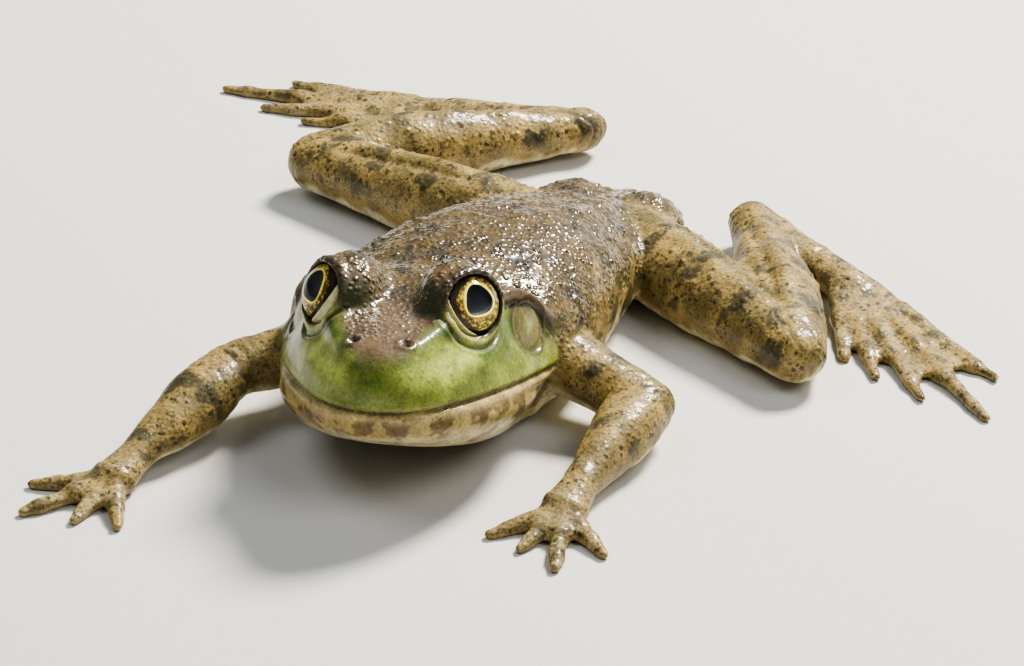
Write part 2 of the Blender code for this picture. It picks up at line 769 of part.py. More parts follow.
def mouth_sheet():
    """A thin sheet in the line of the mouth, from before the snout to the nape cut."""
    bm = bmesh.new()
    steps = 14
    first, last = -6.0, NAPE_CUT + PART_GAP / 2
    rows = []
    for i in range(steps + 1):
        y = first + (last - first) * i / steps
        middle = lip_height(max(y, 0.0)) + MOUTH_CUT
        corners = ((-1, -0.5), (1, -0.5), (1, 0.5), (-1, 0.5))
        wide = HEAD_HALF_WIDTH + 6.0
        rows.append([in_head((x * wide, y, middle + z * PART_GAP)) for x, z in corners])
    loft(bm, rows)
    return object_from(bm, "mouth_cutter")


def part_head(body):
    """Cuts the fused body into head, lower jaw and trunk."""
    use_boolean(body, "DIFFERENCE", block(in_head((0, NAPE_CUT, 0)), HEAD_TURN, (90.0, PART_GAP, 90.0)))
    use_boolean(body, "DIFFERENCE", mouth_sheet())
    places = {
        "head": in_head((0, 22.0, 12.0)),
        "lower_jaw": in_head((0, 25.0, -9.0)),
        "trunk": Vector((0, 25.0, 14.0)),
    }
    named_islands(body, places)


def part_senses(side, name):
    """Sinks an eyeball and an eardrum into one side of the head."""
    head = bpy.data.objects["head"]
    centre = in_head(EYE_CENTRE, side)
    out = turn_along(head_direction(EYE_AXIS, side), HEAD_TURN @ Vector((0, 0, 1)))
    socket = EYE_RADIUS + SOCKET_GAP
    use_boolean(head, "DIFFERENCE", solid("socket_cutter", ellipsoid, centre, [socket] * 3, out, 20, 12))
    use_boolean(head, "DIFFERENCE", rod(centre, out, LID_OPENING, 0.0, 14.0))
    solid("eye_" + name, ellipsoid, centre, [EYE_RADIUS] * 3, out, 18, 12)
    centre = in_head(EARDRUM_CENTRE, side)
    out = turn_along(head_direction(EARDRUM_AXIS, side), HEAD_TURN @ Vector((0, 0, 1)))
    drum = copy_of(head, "eardrum_" + name)
    use_boolean(drum, "INTERSECT", rod(centre, out, [EARDRUM_RADIUS] * 2, -EARDRUM_DEPTH, 6.0, 24))
    wide = EARDRUM_RADIUS + SOCKET_GAP
    use_boolean(head, "DIFFERENCE", rod(centre, out, [wide] * 2, -EARDRUM_DEPTH - SOCKET_GAP, 6.0, 24))


def finish(obj):
    """Plain triangles with no slivers, moved so that the frog stands centred on the origin."""
    bm = bmesh.new()
    bm.from_mesh(obj.data)
    bmesh.ops.remove_doubles(bm, verts=bm.verts, dist=MERGE * MM)
    bmesh.ops.dissolve_degenerate(bm, edges=bm.edges, dist=MERGE * MM)
    bmesh.ops.triangulate(bm, faces=bm.faces)
    bmesh.ops.recalc_face_normals(bm, faces=bm.faces)
    bm.to_mesh(obj.data)
    bm.free()
    obj.data.shade_smooth()
    obj.data.set_sharp_from_angle(angle=SHARP_ANGLE)


def centre_on_origin(objects):
    points = [v.co for obj in objects for v in obj.data.vertices]
    low = Vector([min(p[k] for p in points) for k in range(3)])
    high = Vector([max(p[k] for p in points) for k in range(3)])
    shift = Matrix.Translation(Vector((-(low.x + high.x) / 2, -(low.y + high.y) / 2, 0.0)))
    for obj in objects:
        obj.data.transform(shift)


def skin_of(name):
    """The look of a part, by its name without the side."""
    stem = name.rsplit("_", 1)[0] if name.endswith(("_left", "_right")) else name
    if stem in ("hand", "upper_arm", "forearm"):
        stem = "arm"
    if stem in ("thigh", "shank", "ankle"):
        stem = "leg"
    return SKIN[stem]


def main():
    clear_scene()
    body = fused("body", body_pieces(), BODY_TRIANGLES)
    flatten_underside(body)
    for name in ARMS:
        part_arm(name, swollen(body, PART_GAP))
    for name in LEGS:
        part_leg(name, swollen(body, PART_GAP))
    part_head(body)
    for side, name in ((1, "left"), (-1, "right")):
        part_senses(side, name)
    nodes = [obj for obj in bpy.data.objects if obj.type == "MESH"]
    for obj in nodes:
        finish(obj)
    centre_on_origin(nodes)
    for obj in nodes:
        colour, roughness = skin_of(obj.name)
        obj.data.materials.append(material(obj.name + "_skin", colour, roughness))


main()
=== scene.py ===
"""The looks of a resting bullfrog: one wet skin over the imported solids, two clear eyes and a studio."""

import math

import bmesh
import bpy
import numpy as np
from mathutils import Matrix, Vector
from mathutils.bvhtree import BVHTree


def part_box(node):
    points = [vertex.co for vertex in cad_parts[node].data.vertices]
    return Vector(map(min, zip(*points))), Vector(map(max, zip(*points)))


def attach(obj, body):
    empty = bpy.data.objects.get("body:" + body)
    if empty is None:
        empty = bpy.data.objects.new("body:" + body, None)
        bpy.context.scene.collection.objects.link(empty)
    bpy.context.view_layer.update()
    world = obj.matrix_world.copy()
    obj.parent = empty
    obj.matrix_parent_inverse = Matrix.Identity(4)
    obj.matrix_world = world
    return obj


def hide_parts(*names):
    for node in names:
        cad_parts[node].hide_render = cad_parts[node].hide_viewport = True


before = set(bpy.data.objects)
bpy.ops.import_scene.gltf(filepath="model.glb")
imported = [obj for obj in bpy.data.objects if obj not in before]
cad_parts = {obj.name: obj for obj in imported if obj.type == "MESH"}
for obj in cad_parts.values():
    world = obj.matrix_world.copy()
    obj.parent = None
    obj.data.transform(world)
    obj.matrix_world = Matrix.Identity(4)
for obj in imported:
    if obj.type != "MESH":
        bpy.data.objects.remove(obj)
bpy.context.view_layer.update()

MM = 0.001

# Sizes are in millimetres. The head frame has its origin at the front of the upper lip: x to the frog's left,
# y back from the snout and z up from the plane of the mouth. It is found from the two eyeballs.
HEAD_YAW, HEAD_PITCH, HEAD_ROLL = 12.0, 8.5, -0.5
HEAD_LENGTH = 43.8
LIP_DROP = 3.2  # how far the line of the mouth sinks along the head
EYE_RADIUS = 6.6
EYE_CENTRE = (12.3, 25.3, 13.6)
EYE_AXIS = (0.71, -0.64, 0.30)  # straight out between the lids
LID_RADIUS = 6.9  # the rim of the lids, and the groove outside the lower one
LID_GROOVE_RADIUS = 8.3
GAZE = {1: (51.0, 27.0), -1: (62.0, 27.0)}  # where each pupil looks: degrees out from straight ahead, and up
EARDRUM_RADIUS = 5.5
EARDRUM_CENTRE = (21.6, 38.2, 5.5)
EARDRUM_AXIS = (0.80, -0.12, 0.58)
NOSTRIL = (5.0, 7.8, 10.9)
LIT_CHEEK = ((8.0, 4.5, 6.4), (15.0, 15.5, 6.6))  # the two ends of a painted pool of light on the side of the snout
JAW_GLAND = (26.8, 45.3, -0.4)
EAR_FOLD = ((16.6, 32.0, 13.2), (19.2, 37.8, 12.5), (21.9, 43.6, 9.4), (24.4, 46.6, 3.6), (24.6, 49.5, -3.0))
CANTHUS = ((11.4, 19.0, 11.4), (8.2, 13.5, 11.0), (6.0, 9.6, 10.9))  # the edge of the snout, eye to nostril
MOUTH_CORNER = 47.0  # how far back the mouth reaches

# The brown plane of the snout and crown, by distance back: half its width, and its lowest height
CROWN_HALF_WIDTHS = ((0.0, 1.2), (2.3, 3.8), (6.0, 5.4), (13.0, 7.8), (17.5, 9.6), (25.5, 15.0), (33.0, 19.0))
CROWN_LOWEST = ((0.0, 5.0), (2.0, 6.5), (5.0, 8.6), (10.0, 9.6), (20.0, 10.4))

SKIN_GROWTH = 0.28  # closes the thin cuts between the solids
SKIN_VOXEL = 0.45  # the size of the cells that the skin is first made of

# Joints, in the frog's own frame: shoulder, elbow, wrist; hip, knee, heel, end of the tarsus
LIMB_JOINTS = (
    ((18.1, -19.2, 13.0), (44.9, -25.4, 8.0), (42.5, -53.6, 4.6)),
    ((-13.9, -29.7, 13.0), (-33.6, -49.4, 11.0), (-39.9, -76.5, 4.6)),
    ((17.1, 38.3, 8.2), (63.8, 7.4, 7.4), (34.5, 61.4, 6.2), (62.3, 46.0, 3.6)),
    ((-7.4, 36.8, 8.2), (-61.7, 50.3, 7.4), (-15.7, 91.1, 6.2), (-47.6, 92.2, 3.6)),
)

KNUCKLES = {3: 7.5, 4: 12.5}  # from joint to joint, for an arm with three joints and a leg with four

REGIONS = {
    "head": ("head", "eardrum_left", "eardrum_right"),
    "jaw": ("lower_jaw",),
    "trunk": ("trunk",),
    "arm": ("upper_arm_left", "upper_arm_right", "forearm_left", "forearm_right"),
    "leg": ("thigh_left", "thigh_right", "shank_left", "shank_right"),
    "foot": ("hand_left", "hand_right", "foot_left", "foot_right", "ankle_left", "ankle_right"),
}

# How strongly the facets of each region are smoothed
SOFTENING = {"head": 0.42, "jaw": 0.6, "trunk": 1.0, "arm": 0.7, "leg": 0.85, "foot": 0.25}

# Skin colours, in linear light
LIP_GREEN = (0.20, 0.235, 0.035)
FACE_GREEN = (0.070, 0.105, 0.016)
# Deep green for the fronts of the brows: green skin darkened as painted shade
BROW_SHADE_GREEN = (0.032, 0.040, 0.011)
# Yellow-green: a painted pool of light on the cheek, and the gland's own colour behind the mouth
LIT_CHEEK_AND_GLAND_YELLOW = (0.34, 0.39, 0.075)
SNOUT_BROWN = (0.095, 0.060, 0.032)
BACK_BROWN = (0.074, 0.047, 0.011)
BACK_DARK = (0.016, 0.012, 0.007)
LIMB_TAN = (0.265, 0.188, 0.062)
LIMB_OLIVE = (0.105, 0.088, 0.034)
MARK_DARK = (0.036, 0.036, 0.019)
BELLY_PALE = (0.62, 0.55, 0.33)
THROAT_CREAM = (0.38, 0.285, 0.10)
THROAT_BROWN = (0.10, 0.058, 0.022)
FOOT_GREY = (0.25, 0.19, 0.08)
FLECK_DARK = (0.032, 0.026, 0.014)
FLECK_PALE = (0.50, 0.38, 0.16)
DRUM_OLIVE = (0.115, 0.100, 0.030)
DRUM_PALE = (0.25, 0.24, 0.085)
DRUM_RIM = (0.045, 0.028, 0.012)
FOLD_BROWN = (0.085, 0.055, 0.026)
FOLD_SHADE = (0.012, 0.010, 0.007)
CANTHUS_BROWN = (0.05, 0.03, 0.016)
NOSTRIL_SHADE = (0.012, 0.008, 0.006)
NOSTRIL_RIM = (0.07, 0.045, 0.03)
LID_OLIVE = (0.30, 0.30, 0.07)
LID_BROWN = (0.035, 0.024, 0.012)
LID_GROOVE_SHADE = (0.03, 0.03, 0.012)
SOCKET_SHADE = (0.02, 0.016, 0.01)
MOUTH_SLIT_SHADE = (0.035, 0.025, 0.014)
LOWER_LIP = (0.44, 0.34, 0.15)

# Eye colours
IRIS_GOLD = (0.50, 0.38, 0.035)
IRIS_BRONZE = (0.28, 0.17, 0.022)
IRIS_OLIVE = (0.46, 0.40, 0.085)
IRIS_ORANGE = (0.36, 0.15, 0.03)
IRIS_NET = (0.018, 0.012, 0.008)
IRIS_BAND_AND_SHADE = (0.012, 0.009, 0.007)
IRIS_RIM = (0.012, 0.010, 0.008)
PUPIL_RING = (0.74, 0.66, 0.17)
PUPIL_BLACK = (0.004, 0.005, 0.007)
CRESCENT_OCHRE = (0.50, 0.43, 0.17)
CRESCENT_CREAM = (0.66, 0.60, 0.30)


# Numbers


def bump(distance, width):
    """1 at distance 0, falling off softly over width."""
    return np.exp(-((distance / width) ** 2))


def ramp(value, low, high):
    """0 at low and 1 at high, with a smooth change between."""
    t = np.clip((value - low) / (high - low), 0.0, 1.0)
    return t * t * (3.0 - 2.0 * t)


def scrambled(cell, seed):
    """Thirty repeatable random bits for each whole-number place, by an integer hash with large factors."""
    n = cell @ np.array((374761393, 668265263, 1440662683)) + seed * 1013904223
    n = n & 0xFFFFFFFF
    n = ((n ^ (n >> 13)) * 1274126177) & 0xFFFFFFFF
    n = ((n ^ (n >> 15)) * 2246822519) & 0xFFFFFFFF
    return (n ^ (n >> 16)) & 0x3FFFFFFF


def thirds(bits):
    """Three numbers from 0 to 1 out of thirty bits."""
    return [((bits >> shift) & 1023) / 1023.0 for shift in (0, 10, 20)]


def cloud(points, size, seed=0):
    """Smooth noise from about -1 to 1, in patches about size across."""
    place = points / size
    cell = np.floor(place).astype(np.int64)
    part = place - cell
    eased = part**3 * (part * (part * 6.0 - 15.0) + 10.0)
    total = np.zeros(len(points))
    for corner in np.ndindex(2, 2, 2):
        lean = np.zeros(len(points))
        share = np.ones(len(points))
        for axis, slope in enumerate(thirds(scrambled(cell + np.array(corner), seed))):
            lean += (2.0 * slope - 1.0) * (part[:, axis] - corner[axis])
            share *= eased[:, axis] if corner[axis] else 1.0 - eased[:, axis]
        total += share * lean
    return 1.9 * total


def layered(points, size, seed=0, layers=3):
    """Cloud noise with finer and fainter layers on it."""
    total = np.zeros(len(points))
    for k in range(layers):
        total += cloud(points, size / 2**k, seed + 7 * k) / 2**k
    return total


def beads(points, size, seed=0):
    """For spots scattered one to a cube of the given size: distance to the nearest, and its own number."""
    place = points / size
    cell = np.floor(place).astype(np.int64)
    nearest = np.full(len(points), 9.0)
    owner = np.zeros(len(points))
    for step in np.ndindex(3, 3, 3):
        at = cell + np.array(step) - 1
        spots = thirds(scrambled(at, seed))
        distance = np.sqrt(sum((at[:, k] + spots[k] - place[:, k]) ** 2 for k in range(3)))
        closer = distance < nearest
        nearest = np.where(closer, distance, nearest)
        owner = np.where(closer, (7.0 * spots[0] + 3.0 * spots[1]) % 1.0, owner)
    return nearest * size, owner


def mix(base, other, share):
    """Blends rows of colours towards one colour, or towards other rows, by a share for each row."""
    return base + (np.asarray(other) - base) * share[:, None]


def from_segment(points, a, b):
    """Distance of each point from the line from a to b, and how far along it, from 0 to 1."""
    a, b = np.asarray(a, float), np.asarray(b, float)
    along = b - a
    t = np.clip((points - a) @ along / (along @ along), 0.0, 1.0)
    return np.linalg.norm(points - a - t[:, None] * along, axis=1), t


def from_path(points, path):
    """Distance from a bent line, how far along it from 0 to 1, and the offset from its nearest point."""
    best = np.full(len(points), 1e9)
    along = np.zeros(len(points))
    offset = np.zeros((len(points), 3))
    spans = len(path) - 1
    for i in range(spans):
        distance, t = from_segment(points, path[i], path[i + 1])
        closer = distance < best
        best = np.where(closer, distance, best)
        along = np.where(closer, (i + t) / spans, along)
        start, end = np.asarray(path[i], float), np.asarray(path[i + 1], float)
        offset = np.where(closer[:, None], points - start - t[:, None] * (end - start), offset)
    return best, along, offset


# The head frame


def head_turn():
    turn = Matrix.Rotation(math.radians(HEAD_YAW), 3, "Z")
    nod = Matrix.Rotation(math.radians(-HEAD_PITCH), 3, "X")
    tilt = Matrix.Rotation(math.radians(HEAD_ROLL), 3, "Y")
    return turn @ nod @ tilt


def middle_of(node):
    low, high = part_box(node)
    return (Vector(low) + Vector(high)) / (2 * MM)


HEAD_TURN = head_turn()
BETWEEN_EYES = (middle_of("eye_left") + middle_of("eye_right")) / 2
HEAD_ORIGIN = BETWEEN_EYES - HEAD_TURN @ Vector((0.0, EYE_CENTRE[1], EYE_CENTRE[2]))


def in_head(points):
    """Points of the frog's frame, in millimetres, as the head sees them."""
    return (points - np.array(HEAD_ORIGIN)) @ np.array(HEAD_TURN)


def fold_signs(points):
    """Factors that bring points of the frog's right side onto its left."""
    return np.where(points[:, :1] < 0, (-1.0, 1.0, 1.0), (1.0, 1.0, 1.0))


def mirrored(points):
    """Head points folded onto the frog's left side."""
    return points * fold_signs(points)


def dial(points, centre, axis):
    """For a round feature: distance out from its axis, height along it, and angle round it from its top."""
    axis = np.array(Vector(axis).normalized())
    side = np.cross((0.0, 0.0, 1.0), axis)
    side = side / np.linalg.norm(side)
    up = np.cross(axis, side)
    offset = points - np.asarray(centre)
    u, v = offset @ side, offset @ up
    return np.hypot(u, v), offset @ axis, np.arctan2(u, v)


# The skin's mesh


def grown_copy(bm, source, distance):
    """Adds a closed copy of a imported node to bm, grown outwards."""
    piece = bmesh.new()
    piece.from_mesh(source.data)
    bmesh.ops.remove_doubles(piece, verts=piece.verts, dist=1e-6)
    bmesh.ops.recalc_face_normals(piece, faces=piece.faces)
    piece.normal_update()
    moved = [v.co + v.normal * distance for v in piece.verts]
    for v, place in zip(piece.verts, moved):
        v.co = place
    mesh = bpy.data.meshes.new("grown")
    piece.to_mesh(mesh)
    piece.free()
    bm.from_mesh(mesh)
    bpy.data.meshes.remove(mesh)


def flesh_nodes():
    return [name for names in REGIONS.values() for name in names]


def joined_skin():
    """One closed surface round all the solids of flesh."""
    bm = bmesh.new()
    for name in flesh_nodes():
        grown_copy(bm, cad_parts[name], SKIN_GROWTH * MM)
    mesh = bpy.data.meshes.new("skin")
    bm.to_mesh(mesh)
    bm.free()
    skin = bpy.data.objects.new("skin", mesh)
    bpy.context.scene.collection.objects.link(skin)
    remesh = skin.modifiers.new("one_surface", "REMESH")
    remesh.mode = "VOXEL"
    remesh.voxel_size = SKIN_VOXEL * MM
    graph = bpy.context.evaluated_depsgraph_get()
    skin.data = bpy.data.meshes.new_from_object(skin.evaluated_get(graph))
    skin.modifiers.clear()
    return skin


def region_shares(points):
    """For each point, which region's solid is nearest, as a share of 1 for each region."""
    corners, faces, owners = [], [], []
    for index, names in enumerate(REGIONS.values()):
        for name in names:
            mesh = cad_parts[name].data
            start = len(corners)
            corners += [v.co / MM for v in mesh.vertices]
            faces += [[start + i for i in p.vertices] for p in mesh.polygons]
            owners += [index] * len(mesh.polygons)
    tree = BVHTree.FromPolygons(corners, faces)
    shares = np.zeros((len(points), len(REGIONS)))
    for i, point in enumerate(points):
        shares[i, owners[tree.find_nearest(Vector(point))[2]]] = 1.0
    return shares


class Surface:
    """The skin's points in millimetres, with its edges, normals and regions."""

    def __init__(self, obj):
        self.mesh = obj.data
        self.count = len(self.mesh.vertices)
        flat = np.empty(self.count * 3)
        self.mesh.vertices.foreach_get("co", flat)
        self.points = flat.reshape(-1, 3) / MM
        ends = np.empty(len(self.mesh.edges) * 2, dtype=np.int64)
        self.mesh.edges.foreach_get("vertices", ends)
        self.a, self.b = ends.reshape(-1, 2).T
        self.degree = np.bincount(self.a, minlength=self.count) + np.bincount(self.b, minlength=self.count)
        self.shares = self.spread(region_shares(self.points), 14)
        self.refresh()

    def share(self, region):
        return self.shares[:, list(REGIONS).index(region)]

    def around(self, values):
        """Each point's neighbours' mean."""
        out = np.empty_like(values)
        for k in range(values.shape[1]):
            column = values[:, k]
            total = np.bincount(self.a, column[self.b], self.count)
            total += np.bincount(self.b, column[self.a], self.count)
            out[:, k] = total / self.degree
        return out

    def spread(self, values, steps, factor=0.6):
        for _ in range(steps):
            values = values + (self.around(values) - values) * factor
        return values

    def soften(self, steps, factor):
        """Smooths the points by a factor for each."""
        for _ in range(steps):
            self.points = self.points + (self.around(self.points) - self.points) * factor[:, None]
        self.refresh()

    def refresh(self):
        self.mesh.vertices.foreach_set("co", (self.points * MM).ravel())
        self.mesh.update()
        flat = np.empty(self.count * 3)
        self.mesh.vertex_normals.foreach_get("vector", flat)
        self.normals = flat.reshape(-1, 3)

    def raise_by(self, heights):
        self.points = self.points + self.normals * heights[:, None]
        self.refresh()

    def attribute(self, name, values):
        """Stores numbers, or colours, on the points for the material."""
        if values.ndim == 1:
            self.mesh.attributes.new(name, "FLOAT", "POINT").data.foreach_set("value", values)
            return
        rows = np.ones((self.count, 4))
        rows[:, :3] = np.clip(values, 0.0, 1.0)
        self.mesh.attributes.new(name, "FLOAT_COLOR", "POINT").data.foreach_set("color", rows.ravel())


# Shaping the skin


def smooth_facets(skin):
    """Melts the facets and the cuts at the joints, and rounds the tips of fingers and toes."""
    factor = sum(skin.share(name) * amount for name, amount in SOFTENING.items())
    for joints in LIMB_JOINTS:
        for joint in joints[1:]:
            distance = np.linalg.norm(skin.points - np.array(joint), axis=1)
            factor = np.maximum(factor, 0.95 * bump(distance, 6.0))
    skin.soften(60, 0.5 * factor)
    for joints in LIMB_JOINTS[:2]:
        distance = np.linalg.norm(skin.points - np.array(joints[-1]), axis=1)
        skin.soften(40, 0.6 * bump(distance, 5.0))
    for _ in range(4):
        bend = np.linalg.norm(skin.around(skin.points) - skin.points, axis=1)
        skin.soften(5, 0.6 * ramp(bend, 0.02, 0.07) * skin.share("foot"))


def smooth_ears(skin):
    """Rounds the fold over each eardrum, and fills the step inside it."""
    fold = mirrored(in_head(skin.points))
    out, height, _ = dial(fold, EARDRUM_CENTRE, EARDRUM_AXIS)
    line = bump(from_ear_fold(fold)[0], 2.6)
    ring = bump(out - EARDRUM_RADIUS - 0.6, 1.8) * on_drum_side(height)
    skin.soften(22, 0.55 * np.maximum(line, ring) * skin.share("head"))


def mouth_height(y):
    return -LIP_DROP * (np.maximum(y, 0.0) / HEAD_LENGTH) ** 2 - 0.3


def lip_shape(head, near):
    """The groove of the mouth, with a rounded lip on each side."""
    above = head[:, 2] - mouth_height(head[:, 1])
    reach = near * ramp(head[:, 1], MOUTH_CORNER + 0.5, MOUTH_CORNER - 2.0)
    groove = -0.75 * bump(above, 0.36)
    upper = 0.22 * bump(above - 1.0, 0.55)
    lower = 0.45 * bump(above + 1.3, 0.9)
    return (groove + upper + lower) * reach


def eyelids(fold):
    """Rims round the eyes, with a fine groove outside the lower one."""
    out, height, angle = dial(fold, EYE_CENTRE, EYE_AXIS)
    front = ramp(height, -1.0, 1.5)
    lower = ramp(np.cos(angle), 0.25, -0.4)
    rim = 0.30 * bump(out - LID_RADIUS, 0.55)
    groove = -0.42 * bump(out - LID_GROOVE_RADIUS, 0.42) * lower
    second = 0.2 * bump(out - 9.2, 0.5) * lower
    crease = -0.25 * bump(out - 8.0, 0.4) * (1.0 - lower)
    return (rim + groove + second + crease) * front * ramp(out, 12.0, 10.0)


def on_drum_side(height):
    """1 near the level of the eardrum, 0 deep inside the head and beyond it."""
    return ramp(height, -5.0, -4.0) * ramp(height, 6.5, 5.5)


def flatten_eardrums(skin):
    """Levels the disc of each eardrum to a slope through its edge, a little below it."""
    head = in_head(skin.points)
    fold = mirrored(head)
    out, height, angle = dial(fold, EARDRUM_CENTRE, EARDRUM_AXIS)
    axis = np.array(Vector(EARDRUM_AXIS).normalized())
    near = skin.share("head") * on_drum_side(height)
    edge = (np.abs(out - EARDRUM_RADIUS - 0.1) < 0.5) & (near > 0.5)
    spots = np.stack((np.ones(skin.count), out * np.cos(angle), out * np.sin(angle)), axis=1)
    slope = np.linalg.lstsq(spots[edge], height[edge], rcond=None)[0]
    level = spots @ slope - 0.25 + 0.35 * bump(out, 2.2)
    shift = (level - height) * near * ramp(out, EARDRUM_RADIUS + 0.5, EARDRUM_RADIUS - 1.0)
    moves = shift[:, None] * axis * fold_signs(head)
    skin.points = skin.points + moves @ np.array(HEAD_TURN).T
    skin.refresh()


def eardrum(fold):
    """A taut drum in a thin raised ring."""
    out, height, _ = dial(fold, EARDRUM_CENTRE, EARDRUM_AXIS)
    near = on_drum_side(height)
    ring = 0.30 * bump(out - EARDRUM_RADIUS, 0.5)
    groove = -0.22 * bump(out - EARDRUM_RADIUS + 0.95, 0.45)
    return (ring + groove) * near


def nostrils(fold):
    distance = np.linalg.norm(fold - np.array(NOSTRIL), axis=1)
    return 0.32 * bump(distance - 1.5, 0.55) - 1.15 * bump(distance, 0.85)


def from_ear_fold(fold):
    """Distance from the ear fold, seen straight onto the eardrum, how far along it, and how far above it."""
    axis = np.array(Vector(EARDRUM_AXIS).normalized())
    flat = fold - (fold @ axis)[:, None] * axis
    path = [np.array(p) - np.dot(p, axis) * axis for p in EAR_FOLD]
    distance, along, offset = from_path(flat, path)
    near = ramp(fold[:, 0], 8.0, 11.0)
    return distance + 9.0 * (1.0 - near), along, offset[:, 2] + 0.6 * offset[:, 1]


def folds_of_head(fold):
    """The fold from the eye over the eardrum to the shoulder."""
    distance, along, above = from_ear_fold(fold)
    fade = ramp(along, 0.0, 0.06) * ramp(along, 1.0, 0.8)
    ridge = 0.35 * bump(distance, 1.0) * fade
    groove = -0.35 * bump(distance - 2.0, 0.5) * ramp(above, 0.2, -0.4) * fade
    return ridge + groove


def granules(skin, head):
    """Heights of the fine grains of the skin, which are coarse on the back and absent on the belly."""
    up = skin.normals[:, 2]
    points = skin.points
    crown = ramp(head[:, 1], 12.0, 30.0) * top_of_head(head)
    coarse = (skin.share("trunk") + skin.share("head") * crown) * ramp(up, -0.1, 0.5)
    wart, kind = beads(points, 2.3, 5)
    warts = 0.34 * ramp(wart / (0.55 + 0.5 * kind), 1.1, 0.15)
    grain, kind = beads(points, 1.35, 9)
    grains = 0.17 * ramp(grain / (0.45 + 0.35 * kind), 1.1, 0.15)
    limbs = skin.share("leg") + skin.share("arm") + 0.35 * skin.share("foot")
    tubercle, kind = beads(points, 2.7, 21)
    spots = 0.42 * ramp(tubercle, 0.80, 0.15) * (kind > 0.3)
    shank = skin.share("leg") * ramp(up, 0.1, 0.6)
    return (warts + grains) * coarse + 0.35 * grains * limbs * ramp(up, -0.4, 0.2) + spots * shank


def muscles(points):
    """A soft groove along the upper side of each thigh and shank, between its muscles."""
    total = np.zeros(len(points))
    for hip, knee, heel, _ in LIMB_JOINTS[2:]:
        for start, end in ((hip, knee), (knee, heel)):
            along = np.array(end) - np.array(start)
            across = np.cross(along, (0.0, 0.0, 1.0))
            across = across / np.linalg.norm(across)
            distance, t = from_segment(points, start, end)
            offset = (points - np.array(start)) @ across
            inside = ramp(t, 0.12, 0.3) * ramp(t, 0.95, 0.75) * ramp(distance, 12.0, 10.0)
            above = ramp(points[:, 2], 6.0, 9.0)
            total += 0.45 * (bump(offset - 0.6, 1.8) - 1.5 * bump(offset + 2.6, 1.1)) * inside * above
    return total


def knuckles(skin):
    """Slight swellings at the joints of fingers and toes, which lie in arcs round the wrist and the ankle."""
    total = np.zeros(skin.count)
    for joints in LIMB_JOINTS:
        reach = np.linalg.norm(skin.points - np.array(joints[-1]), axis=1)
        spacing = KNUCKLES[len(joints)]
        share = skin.share("foot") * ramp(reach, 0.9 * spacing, spacing) * ramp(reach, 75.0, 70.0)
        total = np.maximum(total, share * (0.5 + 0.5 * np.cos(2 * math.pi * reach / spacing)) ** 4)
    return 0.30 * total


def soft_folds(skin):
    """Loose skin: slack on the flanks, behind the jaw and round the joints."""
    points = skin.points
    up = skin.normals[:, 2]
    sides = skin.share("trunk") * ramp(up, 0.75, 0.2)
    stretched = points * np.array((1.0, 0.75, 0.35))
    flank = 0.38 * (1.0 - 2.4 * np.abs(cloud(stretched, 4.6, 31))) * sides
    loose = skin.share("trunk") + 0.8 * skin.share("leg") + skin.share("arm")
    wide = 0.40 * layered(points, 9.0, 40, 2) * loose
    creases = np.zeros(skin.count)
    for joints in LIMB_JOINTS:
        for before, joint, after in zip(joints, joints[1:], joints[2:]):
            distance = np.linalg.norm(points - np.array(joint), axis=1)
            line = np.array(after) - np.array(before)
            line = line / np.linalg.norm(line)
            across = (points - np.array(joint)) @ line + 0.8 * cloud(points, 5.0, 50)
            creases += -0.26 * (0.5 + 0.5 * np.cos(2 * math.pi * across / 2.4)) ** 4 * bump(distance, 9.5)
    return flank + wide + creases + muscles(points) + knuckles(skin)


def shape_skin(skin):
    smooth_facets(skin)
    smooth_ears(skin)
    skin.raise_by(soft_folds(skin))
    head = in_head(skin.points)
    fold = mirrored(head)
    face = skin.share("head") + skin.share("jaw")
    skin.raise_by((lip_shape(head, face) + folds_of_head(fold)) * ramp(face, 0.15, 0.6))
    flatten_eardrums(skin)
    fold = mirrored(in_head(skin.points))
    skin.raise_by((eyelids(fold) + eardrum(fold) + nostrils(fold)) * face)
    skin.raise_by(granules(skin, in_head(skin.points)))
    skin.points[:, 2] = np.maximum(skin.points[:, 2], 0.0)
    skin.refresh()


# Colouring the skin


def top_of_head(head):
    """1 on the brown plane of the snout, crown and brows, 0 on the green sides of the face."""
    y = head[:, 1]
    edge = np.interp(y, *zip(*CROWN_HALF_WIDTHS))
    canthus = np.interp(y, *zip(*CROWN_LOWEST))
    blur = 1.0 + 1.4 * ramp(y, 7.0, 2.0)
    wander = 0.9 * layered(head, 3.0, 67)
    inside = ramp(edge + wander - np.abs(head[:, 0]), -blur, blur) * ramp(head[:, 2] - canthus, -1.2, 0.8)
    inside = inside * ramp(y, 0.4, 5.0)
    brow = ramp(head[:, 2], 12.6, 15.4)
    return np.maximum(inside, brow)


def limb_marks(points):
    """Dark blotches across the limbs, from 0 to 1."""
    best = np.full(len(points), 1e9)
    along = np.zeros(len(points))
    for number, joints in enumerate(LIMB_JOINTS):
        for k, (start, end) in enumerate(zip(joints, joints[1:])):
            distance, t = from_segment(points, start, end)
            length = math.dist(start, end)
            closer = distance < best
            best = np.where(closer, distance, best)
            along = np.where(closer, t * length + 31.0 * k + 17.0 * number, along)
    bars = np.sin(2 * math.pi * along / 14.0 + 1.6 * cloud(points, 9.0, 61))
    patches = layered(points, 5.0, 63)
    return ramp(0.62 * bars + 0.95 * patches, 0.42, 0.75)


